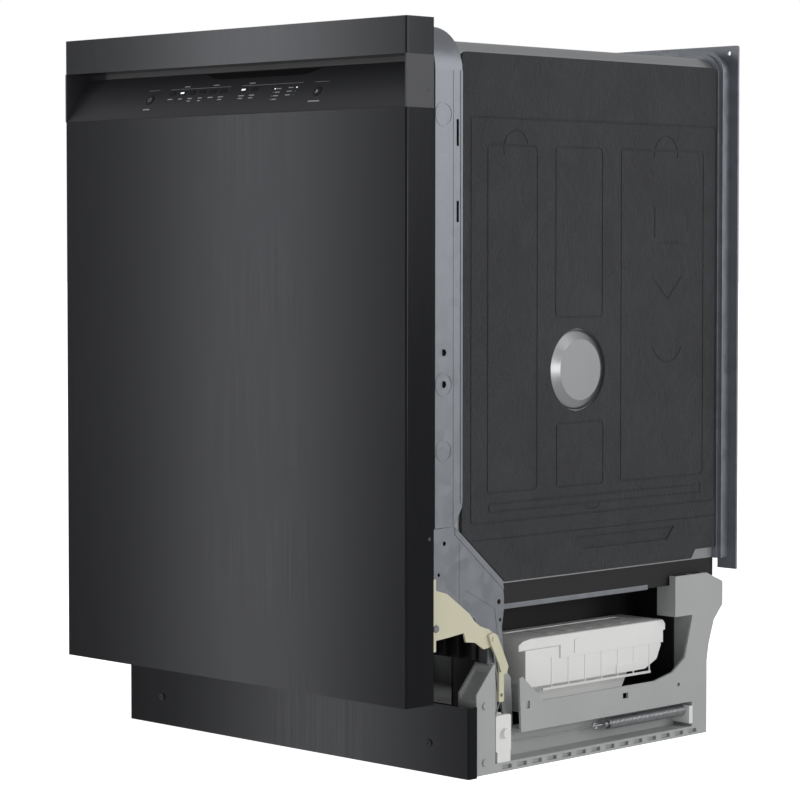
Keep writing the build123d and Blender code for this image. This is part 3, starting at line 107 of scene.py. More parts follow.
def add_box(bm, corner_a, corner_b, bevel=0.0):
    """Adds a box with softened edges to a bmesh."""
    a, b = Vector(corner_a), Vector(corner_b)
    made = bmesh.ops.create_cube(bm, size=1.0)
    verts = made["verts"]
    size = b - a
    bmesh.ops.scale(bm, vec=size, verts=verts)
    bmesh.ops.translate(bm, vec=(a + b) / 2, verts=verts)
    if bevel > 0:
        edges = list({edge for vert in verts for edge in vert.link_edges})
        bmesh.ops.bevel(bm, geom=edges, offset=bevel, segments=2, profile=0.7, affect="EDGES")


def add_tube(bm, points, radius, sides=10, closed=False):
    """Adds a round tube that follows a list of points."""
    points = [Vector(point) for point in points]
    count = len(points)
    rings = []
    normal = None
    for index, point in enumerate(points):
        before = points[index - 1] if index or closed else point
        after = points[(index + 1) % count] if index + 1 < count or closed else point
        along = (after - before).normalized()
        if normal is None:
            normal = along.orthogonal().normalized()
        normal = (normal - along * normal.dot(along)).normalized()
        side = along.cross(normal)
        ring = []
        for step in range(sides):
            angle = 2 * math.pi * step / sides
            offset = normal * math.cos(angle) + side * math.sin(angle)
            ring.append(bm.verts.new(point + offset * radius))
        rings.append(ring)
    pairs = list(zip(rings, rings[1:]))
    if closed:
        pairs.append((rings[-1], rings[0]))
    for first, second in pairs:
        for step in range(sides):
            after = (step + 1) % sides
            bm.faces.new((first[step], first[after], second[after], second[step]))
    if not closed:
        bm.faces.new(list(reversed(rings[0])))
        bm.faces.new(rings[-1])


def rounded_loop(x, y, z, corner, steps=6):
    """Points round a level rounded rectangle, from its limits along X and Y."""
    centres = [(x[1] - corner, y[0] + corner, -90), (x[1] - corner, y[1] - corner, 0)]
    centres += [(x[0] + corner, y[1] - corner, 90), (x[0] + corner, y[0] + corner, 180)]
    points = []
    for centre_x, centre_y, start in centres:
        for step in range(steps + 1):
            angle = math.radians(start + 90 * step / steps)
            points.append((centre_x + corner * math.cos(angle), centre_y + corner * math.sin(angle), z))
    return points


# %% [markdown]
# Shared surface effects as node groups. Each real finish here has two things in common with the
# others: a small texture from how it was made, and a slow change of tone from handling and light.
# Building each effect once, with its sizes as inputs, keeps the finishes consistent and easy to tune.


# %% Node group helpers
def new_group(name, inputs, outputs):
    """An empty shader group with float inputs (name: default) and typed outputs (name: type)."""
    group = bpy.data.node_groups.new(name, "ShaderNodeTree")
    for socket_name, default in inputs.items():
        kind = "NodeSocketColor" if isinstance(default, tuple) else "NodeSocketFloat"
        socket = group.interface.new_socket(socket_name, in_out="INPUT", socket_type=kind)
        socket.default_value = default
    for socket_name, kind in outputs.items():
        group.interface.new_socket(socket_name, in_out="OUTPUT", socket_type=kind)
    entry = group.nodes.new("NodeGroupInput")
    leave = group.nodes.new("NodeGroupOutput")
    return group, entry, leave


def noise(tree, scale, detail=3.0, rough=0.55):
    node = tree.nodes.new("ShaderNodeTexNoise")
    node.inputs["Scale"].default_value = scale
    node.inputs["Detail"].default_value = detail
    node.inputs["Roughness"].default_value = rough
    return node


def math_node(tree, operation, first, second):
    node = tree.nodes.new("ShaderNodeMath")
    node.operation = operation
    for socket, value in zip(node.inputs, (first, second)):
        if isinstance(value, (int, float)):
            socket.default_value = value
        else:
            tree.links.new(value, socket)
    return node.outputs[0]


def mapped_position(tree, scale):
    """Object coordinates stretched by a fixed scale along each axis."""
    place = tree.nodes.new("ShaderNodeTexCoord")
    mapping = tree.nodes.new("ShaderNodeMapping")
    mapping.inputs["Scale"].default_value = scale
    tree.links.new(place.outputs["Object"], mapping.inputs["Vector"])
    return mapping.outputs["Vector"]


def tone(tree, colour, value, spread):
    """The colour made lighter and darker by a value that runs from 0 to 1."""
    shift = math_node(tree, "SUBTRACT", value, 0.5)
    shift = math_node(tree, "MULTIPLY", shift, spread)
    shift = math_node(tree, "ADD", shift, 1.0)
    node = tree.nodes.new("ShaderNodeVectorMath")
    node.operation = "SCALE"
    tree.links.new(colour, node.inputs[0])
    tree.links.new(shift, node.inputs["Scale"])
    return node.outputs[0]


# %% Moulded grain: the fine sand texture and slow tone of injection-moulded plastic
def build_moulded_grain():
    group, entry, leave = new_group(
        "moulded_grain",
        {"Colour": (0.3, 0.3, 0.3, 1), "Grain scale": 900.0, "Tone spread": 0.12, "Roughness": 0.45},
        {"Colour": "NodeSocketColor", "Roughness": "NodeSocketFloat", "Height": "NodeSocketFloat"},
    )
    where = mapped_position(group, (1, 1, 1))
    sand = noise(group, 900.0, 2.0)
    slow = noise(group, 9.0, 4.0)
    for node in (sand, slow):
        group.links.new(where, node.inputs["Vector"])
    group.links.new(entry.outputs["Grain scale"], sand.inputs["Scale"])
    toned = tone(group, entry.outputs["Colour"], slow.outputs["Fac"], entry.outputs["Tone spread"])
    rough = math_node(group, "MULTIPLY", slow.outputs["Fac"], 0.16)
    rough = math_node(group, "ADD", rough, entry.outputs["Roughness"])
    group.links.new(toned, leave.inputs["Colour"])
    group.links.new(rough, leave.inputs["Roughness"])
    group.links.new(sand.outputs["Fac"], leave.inputs["Height"])
    return group


# %% Brushing: long fine scratches along one direction
def build_brushing():
    group, entry, leave = new_group(
        "brushing",
        {"Colour": (0.5, 0.5, 0.5, 1), "Line scale": 420.0, "Tone spread": 0.25, "Roughness": 0.3},
        {"Colour": "NodeSocketColor", "Roughness": "NodeSocketFloat", "Height": "NodeSocketFloat"},
    )
    where = mapped_position(group, (1, 1, 0.012))
    lines = noise(group, 420.0, 4.0, 0.7)
    group.links.new(where, lines.inputs["Vector"])
    group.links.new(entry.outputs["Line scale"], lines.inputs["Scale"])
    cloud = noise(group, 3.0, 3.0)
    group.links.new(mapped_position(group, (1, 1, 1)), cloud.inputs["Vector"])
    mixed = math_node(group, "ADD", lines.outputs["Fac"], cloud.outputs["Fac"])
    mixed = math_node(group, "MULTIPLY", mixed, 0.5)
    toned = tone(group, entry.outputs["Colour"], mixed, entry.outputs["Tone spread"])
    rough = math_node(group, "MULTIPLY", lines.outputs["Fac"], 0.14)
    rough = math_node(group, "ADD", rough, entry.outputs["Roughness"])
    group.links.new(toned, leave.inputs["Colour"])
    group.links.new(rough, leave.inputs["Roughness"])
    group.links.new(lines.outputs["Fac"], leave.inputs["Height"])
    return group


# %% Felt: matted fibres with uneven dark patches
def build_felt_fibre():
    group, entry, leave = new_group(
        "felt_fibre",
        {"Colour": (0.05, 0.05, 0.05, 1), "Fibre scale": 260.0, "Patch spread": 0.7},
        {"Colour": "NodeSocketColor", "Roughness": "NodeSocketFloat", "Height": "NodeSocketFloat"},
    )
    where = mapped_position(group, (1, 1, 1))
    fibre = noise(group, 260.0, 6.0, 0.75)
    fibre.inputs["Distortion"].default_value = 1.4
    patch = noise(group, 22.0, 8.0, 0.68)
    patch.inputs["Distortion"].default_value = 0.8
    cloud = noise(group, 5.0, 3.0)
    for node in (fibre, patch, cloud):
        group.links.new(where, node.inputs["Vector"])
    group.links.new(entry.outputs["Fibre scale"], fibre.inputs["Scale"])
    mixed = math_node(group, "ADD", patch.outputs["Fac"], cloud.outputs["Fac"])
    mixed = math_node(group, "MULTIPLY", mixed, 0.5)
    toned = tone(group, entry.outputs["Colour"], mixed, entry.outputs["Patch spread"])
    height = math_node(group, "MULTIPLY", patch.outputs["Fac"], 1.6)
    height = math_node(group, "ADD", height, fibre.outputs["Fac"])
    rough = math_node(group, "MULTIPLY", fibre.outputs["Fac"], 0.2)
    rough = math_node(group, "ADD", rough, 0.62)
    group.links.new(toned, leave.inputs["Colour"])
    group.links.new(rough, leave.inputs["Roughness"])
    group.links.new(height, leave.inputs["Height"])
    return group


# %% Spangle: the faint crystal flakes of zinc-coated sheet
def build_spangle():
    group, entry, leave = new_group(
        "spangle",
        {"Colour": (0.45, 0.48, 0.5, 1), "Flake scale": 70.0, "Tone spread": 0.3, "Roughness": 0.3},
        {"Colour": "NodeSocketColor", "Roughness": "NodeSocketFloat", "Height": "NodeSocketFloat"},
    )
    where = mapped_position(group, (1, 1, 1))
    flake = group.nodes.new("ShaderNodeTexVoronoi")
    group.links.new(where, flake.inputs["Vector"])
    group.links.new(entry.outputs["Flake scale"], flake.inputs["Scale"])
    fine = noise(group, 160.0, 3.0)
    group.links.new(where, fine.inputs["Vector"])
    split = group.nodes.new("ShaderNodeSeparateColor")
    group.links.new(flake.outputs["Color"], split.inputs[0])
    mixed = math_node(group, "ADD", split.outputs[0], fine.outputs["Fac"])
    mixed = math_node(group, "MULTIPLY", mixed, 0.5)
    toned = tone(group, entry.outputs["Colour"], mixed, entry.outputs["Tone spread"])
    rough = math_node(group, "MULTIPLY", mixed, 0.18)
    rough = math_node(group, "ADD", rough, entry.outputs["Roughness"])
    group.links.new(toned, leave.inputs["Colour"])
    group.links.new(rough, leave.inputs["Roughness"])
    group.links.new(fine.outputs["Fac"], leave.inputs["Height"])
    return group


effects = {
    "grain": build_moulded_grain(),
    "brushing": build_brushing(),
    "felt": build_felt_fibre(),
    "spangle": build_spangle(),
}
print("surface effects:", ", ".join(sorted(effects)))

# %% [markdown]
# Finishes. Each one is a Principled shader whose colour, roughness and fine relief come from one of
# the effects above. What is even over the whole surface, such as metalness, coat or sheen, is set
# straight on the shader.


# %% Finish helper
def finish(name, effect, colour, relief=0.00005, metallic=0.0, coat=0.0, sheen=0.0, **values):
    material = bpy.data.materials.new(name)
    material.use_nodes = True
    tree = material.node_tree
    shader = tree.nodes["Principled BSDF"]
    group = tree.nodes.new("ShaderNodeGroup")
    group.node_tree = effects[effect]
    group.inputs["Colour"].default_value = (*colour, 1)
    for label, value in values.items():
        group.inputs[label.replace("_", " ").capitalize()].default_value = value
    bump = tree.nodes.new("ShaderNodeBump")
    bump.inputs["Strength"].default_value = 1.0
    bump.inputs["Distance"].default_value = relief
    tree.links.new(group.outputs["Height"], bump.inputs["Height"])
    tree.links.new(bump.outputs["Normal"], shader.inputs["Normal"])
    tree.links.new(group.outputs["Colour"], shader.inputs["Base Color"])
    tree.links.new(group.outputs["Roughness"], shader.inputs["Roughness"])
    shader.inputs["Metallic"].default_value = metallic
    shader.inputs["Coat Weight"].default_value = coat
    shader.inputs["Coat Roughness"].default_value = 0.25
    shader.inputs["Sheen Weight"].default_value = sheen
    return material


# %% The finishes of this machine
finishes = {
    "black_panel": finish(
        "black_panel", "brushing", (0.023, 0.0235, 0.026), 0.000004, metallic=0.85, coat=0.0,
        line_scale=520.0, tone_spread=0.10, roughness=0.13,
    ),
    "black_trim": finish(
        "black_trim", "grain", (0.056, 0.057, 0.063), 0.000004, tone_spread=0.1, roughness=0.30
    ),
    "key_black": finish("key_black", "grain", (0.022, 0.022, 0.024), 0.00002, roughness=0.5),
    "stainless": finish(
        "stainless", "brushing", (0.56, 0.57, 0.58), 0.00002, metallic=1.0,
        tone_spread=0.2, roughness=0.26,
    ),
    "zinc_sheet": finish(
        "zinc_sheet", "spangle", (0.31, 0.325, 0.355), 0.00004, metallic=0.8,
        tone_spread=0.2, roughness=0.34,
    ),
    "felt": finish("felt", "felt", (0.0235, 0.0250, 0.0295), 0.0016, sheen=0.2, patch_spread=2.6),
    "grey_plastic": finish("grey_plastic", "grain", (0.46, 0.47, 0.47), 0.00005, tone_spread=0.2),
    "white_plastic": finish("white_plastic", "grain", (0.93, 0.93, 0.92), 0.00003, roughness=0.38),
    "cream_cast": finish(
        "cream_cast", "grain", (0.73, 0.70, 0.52), 0.00018, grain_scale=240.0,
        tone_spread=0.3, roughness=0.5,
    ),
    "dark_plastic": finish("dark_plastic", "grain", (0.012, 0.012, 0.013), 0.00005, roughness=0.5),
    "rubber": finish("rubber", "grain", (0.018, 0.018, 0.018), 0.00006, roughness=0.6),
    "spring_steel": finish(
        "spring_steel", "spangle", (0.50, 0.51, 0.53), 0.00002, metallic=1.0,
        flake_scale=300.0, roughness=0.3,
    ),
    "rack_grey": finish("rack_grey", "grain", (0.36, 0.37, 0.39), 0.00002, coat=0.3, roughness=0.3),
    "blue_grey": finish("blue_grey", "grain", (0.25, 0.28, 0.32), 0.00004, roughness=0.42),
}
strip_metal = finish(
    "strip_metal", "brushing", (0.046, 0.047, 0.050), 0.000004, metallic=0.95, line_scale=520.0,
    tone_spread=0.1, roughness=0.13,
)
slot_of = {entry["node"]: entry["material_slot"] for entry in frame["record"]["subparts"]}
for name, obj in nodes.items():
    obj.data.materials.clear()
    obj.data.materials.append(finishes[slot_of[name]])
nodes["top_strip"].data.materials[0] = strip_metal
print("finishes:", len(finishes))

# %% [markdown]
# The door's fascia slopes back towards the top. Its print and lamps lie on that slope, so they are
# placed in its own two directions: across, and up the slope.


# %% Places on the fascia's slope
DEPTH_MM = 592.0


def depth(y_mm):
    """A distance behind the door's front face, in millimetres, as a place along Y."""
    return (y_mm - DEPTH_MM / 2) * MM


SLOPE_RUN_MM = 35.0
SLOPE_RISE_MM = 52.0
SLOPE_FOOT = Vector((0, depth(1.0), 0.7615))
SLOPE_UP = Vector((0, SLOPE_RUN_MM, SLOPE_RISE_MM)).normalized()
SLOPE_OUT = Vector((0, -SLOPE_RISE_MM, SLOPE_RUN_MM)).normalized()


def on_slope(x_mm, up_mm, out_mm=0.0):
    """A place on the slope: across from the middle, up from its foot, and out from its face."""
    across = Vector((x_mm * MM, 0, 0))
    return SLOPE_FOOT + across + SLOPE_UP * (up_mm * MM) + SLOPE_OUT * (out_mm * MM)


# Print starts a little inside the face and ends a little outside it, so that it shows.
PRINT_IN_MM = -0.05
PRINT_OUT_MM = 0.15
# On a key the print stands further out, because the key is 0.8 mm proud of the slope.
KEY_PRINT_IN_MM = 0.7
KEY_LINE_MM = 0.85
FINE_LINE_R_MM = 0.28


def slope_plate(bm, outline, out_low, out_high):
    """A flat plate on the slope, from its outline as (x, up) pairs."""
    rings = []
    for out_mm in (out_low, out_high):
        rings.append([bm.verts.new(on_slope(x, up, out_mm)) for x, up in outline])
    count = len(outline)
    for step in range(count):
        after = (step + 1) % count
        bm.faces.new((rings[0][step], rings[0][after], rings[1][after], rings[1][step]))
    bm.faces.new(list(reversed(rings[0])))
    bm.faces.new(rings[1])


def slope_bar(bm, x, up, out_low=PRINT_IN_MM, out_high=PRINT_OUT_MM):
    """A level bar on the slope, from its limits across and up."""
    slope_plate(bm, [(x[0], up[0]), (x[1], up[0]), (x[1], up[1]), (x[0], up[1])], out_low, out_high)


def slope_arc(bm, centre, radius, start, end, steps=14):
    """A fine line round part of a circle, on a key."""
    points = []
    for step in range(steps + 1):
        angle = math.radians(start + (end - start) * step / steps)
        across = centre[0] + radius * math.cos(angle)
        points.append(on_slope(across, centre[1] + radius * math.sin(angle), KEY_LINE_MM))
    add_tube(bm, points, FINE_LINE_R_MM * MM, 6)


# %% Print on the fascia: fine lines and label bars
ink = finish("ink", "grain", (0.62, 0.62, 0.62), 0.0, roughness=0.5)
POWER_LABEL = ((-159, -147), (11.6, 13.2))
START_LABEL = ((132, 151), (12.2, 13.8))
GROUP_LINES = ((-165, -145), (-124.5, -16), (4, 109), (128, 152))
GROUP_LINE_UP = (40.5, 40.8)
TITLES = (-96.0, -44.0, 20.0)
TITLE_HALF = 5
TITLE_UP = (43.2, 44.6)
# The width of the label under each key, by the key's place across the fascia.
LABEL_WIDTHS = {-117.5: 9, -99.0: 7, -81.5: 8, -63.0: 7, -44.5: 9, -26.0: 9, 10.5: 10, 28.5: 9}
LABEL_UP = (25.4, 26.8)
SECOND_LINE_UP = (21.6, 23.0)
ONE_LINE_LABELS = (0, 1, 4)
LAMP_LABELS = ((72.0, (33.0, 27.9, 22.8, 17.7)), (92.0, (33.6, 28.5, 23.2)))
LAMP_LABEL_TALL = 1.3
bm = bmesh.new()
slope_bar(bm, *POWER_LABEL)
for x in GROUP_LINES:
    slope_bar(bm, x, GROUP_LINE_UP)
for x in TITLES:
    slope_bar(bm, (x - TITLE_HALF, x + TITLE_HALF), TITLE_UP)
for number, (x, wide) in enumerate(LABEL_WIDTHS.items()):
    slope_bar(bm, (x - wide / 2, x + wide / 2), LABEL_UP)
    if number not in ONE_LINE_LABELS:
        slope_bar(bm, (x - wide / 2 + 1, x + wide / 2 - 1), SECOND_LINE_UP)
for x, ups in LAMP_LABELS:
    for up in ups:
        slope_bar(bm, (x - 4.5, x + 3.5), (up, up + LAMP_LABEL_TALL))
slope_bar(bm, *START_LABEL)
fascia_print = add_object("fascia_print", mesh_from(bm, "fascia_print"), ink)
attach(fascia_print, "door")

# %% Icons on two keys: an open ring with a stroke, and a triangle
POWER_X = -154.5
START_X = 140.0
ICON_UP = 26.5
POWER_RING_R = 2.6
bm = bmesh.new()
slope_arc(bm, (POWER_X, ICON_UP), POWER_RING_R, 120, 420)
add_tube(bm, [on_slope(POWER_X, 27.0, 0.9), on_slope(POWER_X, 30.2, 0.9)], FINE_LINE_R_MM * MM, 6)
power_icon = add_object("power_icon", mesh_from(bm, "power_icon"), ink)
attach(power_icon, "power_key")
bm = bmesh.new()
start_outline = [(START_X - 1.6, 23.6), (START_X + 2.4, ICON_UP), (START_X - 1.6, 29.4)]
slope_plate(bm, start_outline, KEY_PRINT_IN_MM, 0.95)
start_icon = add_object("start_icon", mesh_from(bm, "start_icon"), ink)
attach(start_icon, "start_key")


# %% Lamps: small dots beside the labels, and a lit bar on two keys
def lamp_material(name, colour, strength):
    material = bpy.data.materials.new(name)
    material.use_nodes = True
    shader = material.node_tree.nodes["Principled BSDF"]
    shader.inputs["Base Color"].default_value = (*colour, 1)
    shader.inputs["Emission Color"].default_value = (*colour, 1)
    shader.inputs["Emission Strength"].default_value = strength
    return material


lamp_lit = lamp_material("lamp_lit", (0.95, 0.97, 1.0), 1.0)
lamp_dim = lamp_material("lamp_dim", (0.28, 0.28, 0.29), 0.0)


LAMP_R = 0.95
LAMP_PLACES = ((65.0, (33.7, 28.6, 23.5, 18.5)), (101.5, (34.3, 29.1, 23.8)))
KEY_LAMPS = (("cycle_key_2", -99.0), ("option_key_1", 10.5))
KEY_LAMP_HALF = 3.2


def dot_outline(x, up, radius, steps=12):
    turns = [2 * math.pi * step / steps for step in range(steps)]
    return [(x + radius * math.cos(turn), up + radius * math.sin(turn)) for turn in turns]


bm_lit = bmesh.new()
bm_dim = bmesh.new()
for x, ups in LAMP_PLACES:
    for number, up in enumerate(ups):
        target = bm_lit if number == 0 else bm_dim
        slope_plate(target, dot_outline(x, up, LAMP_R), PRINT_IN_MM, 0.2)
fascia_lamps_lit = add_object("fascia_lamps_lit", mesh_from(bm_lit, "fascia_lamps_lit"), lamp_lit)
fascia_lamps_dim = add_object("fascia_lamps_dim", mesh_from(bm_dim, "fascia_lamps_dim"), lamp_dim)
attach(fascia_lamps_lit, "door")
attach(fascia_lamps_dim, "door")
for key, x in KEY_LAMPS:
    bm = bmesh.new()
    slope_bar(bm, (x - KEY_LAMP_HALF, x + KEY_LAMP_HALF), (33.2, 35.4), KEY_PRINT_IN_MM, 0.9)
    key_lamp = add_object(key + "_lamp", mesh_from(bm, key + "_lamp"), lamp_lit)
    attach(key_lamp, key)

# %% Finger pocket: a dark plate painted as the shade of the scoop under the strip where the hand pulls
POCKET = (-73.0, 130.0)
POCKET_TOP = 61.0
POCKET_DIP = 9.0
POCKET_STEPS = 24
# Each end curves down over one sixth of the width, and the edge is level between them.
POCKET_ENDS = 6.0
bm = bmesh.new()
lower_edge = []
for step in range(POCKET_STEPS + 1):
    share = step / POCKET_STEPS
    x = POCKET[0] + (POCKET[1] - POCKET[0]) * share
    dip = min(1.0, POCKET_ENDS * share, POCKET_ENDS * (1 - share))
    lower_edge.append((x, POCKET_TOP - POCKET_DIP * math.sin(dip * math.pi / 2)))
# The plate is painted shade: a dark sheet that stands for the shade in the scoop.
slope_plate(bm, lower_edge, -0.1, 0.12)
finger_pocket = add_object("finger_pocket", mesh_from(bm, "finger_pocket"), finishes["dark_plastic"])
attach(finger_pocket, "door")

# %% [markdown]
# Repeating pieces come from two geometry node trees. One winds a wire into a spring. The other sets
# copies of a bent wire in a row, as in a dish rack. Each result becomes a plain mesh.


# %% Geometry tree helpers
def new_tree(name, inputs):
    tree = bpy.data.node_groups.new(name, "GeometryNodeTree")
    tree.interface.new_socket("Geometry", in_out="OUTPUT", socket_type="NodeSocketGeometry")
    for label, kind in inputs.items():
        tree.interface.new_socket(label, in_out="INPUT", socket_type="NodeSocket" + kind)
    return tree, tree.nodes.new("NodeGroupInput"), tree.nodes.new("NodeGroupOutput")


def close_tree(tree, entry, leave, geometry):
    """Ends a tree: real geometry, with the material from its input."""
    real = tree.nodes.new("GeometryNodeRealizeInstances")
    paint = tree.nodes.new("GeometryNodeSetMaterial")
    tree.links.new(geometry, real.inputs["Geometry"])
    tree.links.new(real.outputs["Geometry"], paint.inputs["Geometry"])
    tree.links.new(entry.outputs["Material"], paint.inputs["Material"])
    tree.links.new(paint.outputs["Geometry"], leave.inputs["Geometry"])


def grow(tree, name, **values):
    """Runs a tree with these input values and keeps the result as a mesh."""
    holder = bpy.data.objects.new(name + "_maker", bpy.data.meshes.new(name + "_maker"))
    bpy.context.scene.collection.objects.link(holder)
    modifier = holder.modifiers.new(name, "NODES")
    modifier.node_group = tree
    inputs = [item for item in tree.interface.items_tree if item.in_out == "INPUT"]
    sockets = {item.name: item.identifier for item in inputs}
    for label, value in values.items():
        modifier[sockets[label.replace("_", " ").capitalize()]] = value
    bpy.context.view_layer.update()
    depsgraph = bpy.context.evaluated_depsgraph_get()
    mesh = bpy.data.meshes.new_from_object(holder.evaluated_get(depsgraph))
    mesh.name = name
    bpy.data.objects.remove(holder)
    return mesh


# %% Tree 1: a coil of round wire along Y
def build_coil_tree():
    inputs = {"Turns": "Float", "Radius": "Float", "Length": "Float", "Wire": "Float", "Steps": "Int"}
    tree, entry, leave = new_tree("wire_coil", {**inputs, "Material": "Material"})
    spiral = tree.nodes.new("GeometryNodeCurveSpiral")
    wire = tree.nodes.new("GeometryNodeCurvePrimitiveCircle")
    wire.inputs["Resolution"].default_value = 8
    sweep = tree.nodes.new("GeometryNodeCurveToMesh")
    sweep.inputs["Fill Caps"].default_value = True
    turn = tree.nodes.new("GeometryNodeTransform")
    turn.inputs["Rotation"].default_value = (-math.pi / 2, 0, 0)
    links = (("Turns", "Rotations"), ("Radius", "Start Radius"), ("Radius", "End Radius"))
    for source, target in links + (("Length", "Height"), ("Steps", "Resolution")):
        tree.links.new(entry.outputs[source], spiral.inputs[target])
    tree.links.new(entry.outputs["Wire"], wire.inputs["Radius"])
    tree.links.new(spiral.outputs["Curve"], sweep.inputs["Curve"])
    tree.links.new(wire.outputs["Curve"], sweep.inputs["Profile Curve"])
    tree.links.new(sweep.outputs["Mesh"], turn.inputs["Geometry"])
    close_tree(tree, entry, leave, turn.outputs["Geometry"])
    return tree


# %% Tree 2: copies of one bar in a straight row
def build_row_tree():
    inputs = {"Bar": "Object", "Count": "Int", "Start": "Vector", "Step": "Vector"}
    tree, entry, leave = new_tree("bars_in_a_row", {**inputs, "Material": "Material"})
    line = tree.nodes.new("GeometryNodeMeshLine")
    source = tree.nodes.new("GeometryNodeObjectInfo")
    place = tree.nodes.new("GeometryNodeInstanceOnPoints")
    tree.links.new(entry.outputs["Count"], line.inputs["Count"])
    tree.links.new(entry.outputs["Start"], line.inputs["Start Location"])
    tree.links.new(entry.outputs["Step"], line.inputs["Offset"])
    tree.links.new(entry.outputs["Bar"], source.inputs["Object"])
    tree.links.new(line.outputs["Mesh"], place.inputs["Points"])
    tree.links.new(source.outputs["Geometry"], place.inputs["Instance"])
    close_tree(tree, entry, leave, place.outputs["Instances"])
    return tree


coil_tree = build_coil_tree()
row_tree = build_row_tree()

# %% [markdown]
# The door's balance: a coil spring in the base on each side, and a thin cord from it round the
# pulley and up to the link.

# %% Balance springs
CORD_X_MM = 280.0
SPRING_Z_MM = 30.8
SPRING_Y_MM = (362.0, 505.0)
SPRING_TURNS = 58.0
SPRING_R = 0.0061
SPRING_WIRE_R = 0.0009
STEPS_IN_A_TURN = 16
for side, sign in (("right", 1), ("left", -1)):
    long = (SPRING_Y_MM[1] - SPRING_Y_MM[0]) * MM
    mesh = grow(
        coil_tree, "balance_spring_" + side, turns=SPRING_TURNS, radius=SPRING_R, length=long,
        wire=SPRING_WIRE_R, steps=STEPS_IN_A_TURN, material=finishes["spring_steel"],
    )
    place = Vector((sign * CORD_X_MM * MM, depth(SPRING_Y_MM[0]), SPRING_Z_MM * MM))
    lowest = min(vert.co.y for vert in mesh.vertices)
    mesh.transform(Matrix.Translation(place - Vector((0, lowest, 0))))
    for face in mesh.polygons:
        face.use_smooth = True
    spring = add_object("balance_spring_" + side, mesh, finishes["spring_steel"])
    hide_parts("balance_springs")
    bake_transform(spring)

# %% Balance cords
CORD_R_MM = 0.8
CORD_SIDES = 8
# The pulley's place behind the door, its height, and the radius that the cord runs at.
PULLEY_MM = (169.5, 45.0, 14.2)
WRAP_STEPS = 12
HOOK_FRONT_MM = 336.0
LINK_PIN_MM = (149.0, 156.0)
LINK_PIN_X = 0.2905
# Where the cord bends a little between the pulley and the link's pin.
BEND_Y_MM = 161.0
BEND_X = 0.2908
BEND_Z = 0.081


def along(start, end, steps):
    """Points at even steps on a straight run, with both of its ends."""
    start, end = Vector(start), Vector(end)
    return [start.lerp(end, step / steps) for step in range(steps + 1)]


for side, sign in (("right", 1), ("left", -1)):
    x = sign * CORD_X_MM * MM
    pulley_y, pulley_z, run = PULLEY_MM
    wrap = []
    for step in range(WRAP_STEPS + 1):
        angle = math.radians(180 + 90 * step / WRAP_STEPS)
        y = depth(pulley_y + run * math.cos(angle))
        z = (pulley_z + run * math.sin(angle)) * MM
        wrap.append((x, y, z))
    bottom = wrap[-1]
    hook = (x, depth(HOOK_FRONT_MM), bottom[2])
    bm = bmesh.new()
    add_tube(bm, wrap + along(bottom, hook, 24)[1:], CORD_R_MM * MM, CORD_SIDES)
    cord_mesh = mesh_from(bm, "lower_cord_" + side, True)
    lower_cord = add_object("lower_cord_" + side, cord_mesh, finishes["spring_steel"])
    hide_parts("balance_cords")
    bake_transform(lower_cord)
    pin = (sign * LINK_PIN_X, depth(LINK_PIN_MM[0]), LINK_PIN_MM[1] * MM)
    bend = (sign * BEND_X, depth(BEND_Y_MM), BEND_Z)
    bm = bmesh.new()
    add_tube(bm, along(wrap[0], bend, 12) + along(bend, pin, 12)[1:], CORD_R_MM * MM, CORD_SIDES)
    cord_mesh = mesh_from(bm, "upper_cord_" + side, True)
    upper_cord = add_object("upper_cord_" + side, cord_mesh, finishes["spring_steel"])
    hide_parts("balance_cords")
    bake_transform(upper_cord)

# %% [markdown]
# The racks: coated wire, bent to a tray shape, with a heavier rim, and rows of upright tines. The
# basket is a moulded lattice. Each is made of rows of one bar from the second tree.


# %% Rack helpers
def wire_object(name, points, radius):
    bm = bmesh.new()
    add_tube(bm, points, radius, 8)
    return add_object(name, mesh_from(bm, name, True))


def box_object(name, corner_a, corner_b):
    bm = bmesh.new()
    add_box(bm, corner_a, corner_b)
    return add_object(name, mesh_from(bm, name))


def row(bar, count, start, step, material):
    """The mesh of a row of bars. The bar itself is removed afterwards."""
    name = bar.name + "_row"
    mesh = grow(row_tree, name, bar=bar, count=count, start=start, step=step, material=material)
    bpy.data.objects.remove(bar)
    return mesh


def join_meshes(name, meshes, material):
    bm = bmesh.new()
    for mesh in meshes:
        bm.from_mesh(mesh)
    joined = mesh_from(bm, name, True)
    joined.set_sharp_from_angle(angle=math.radians(40))
    return add_object(name, joined, material)


def soft_corner(before, corner, after, radius, steps=4):
    """Points round a bend that replaces a sharp corner."""
    before, corner, after = Vector(before), Vector(corner), Vector(after)
    first = corner + (before - corner).normalized() * radius
    last = corner + (after - corner).normalized() * radius
    points = []
    for step in range(steps + 1):
        share = step / steps
        points.append(first * (1 - share) ** 2 + corner * 2 * share * (1 - share) + last * share**2)
    return points


def bent_wire(points, radius):
    """A route with its inner corners rounded."""
    bent = [Vector(points[0])]
    for before, corner, after in zip(points, points[1:], points[2:]):
        bent += soft_corner(before, corner, after, radius)
    return bent + [Vector(points[-1])]


WIRE_R = 0.0018
RIM_R = 0.0026
RACK_HALF = 0.252
RACK_FRONT_MM = 96.0
RACK_BACK_MM = 517.4
RACK_BEND = 0.02
CROSS_WIRES = 16
LONG_WIRES = 17
# The first wire of each row stands this far in from the rim.
CROSS_MARGIN = 0.015
LONG_MARGIN = 0.02
TINE_R = 0.0016
TINE_STEP_MM = 26.0


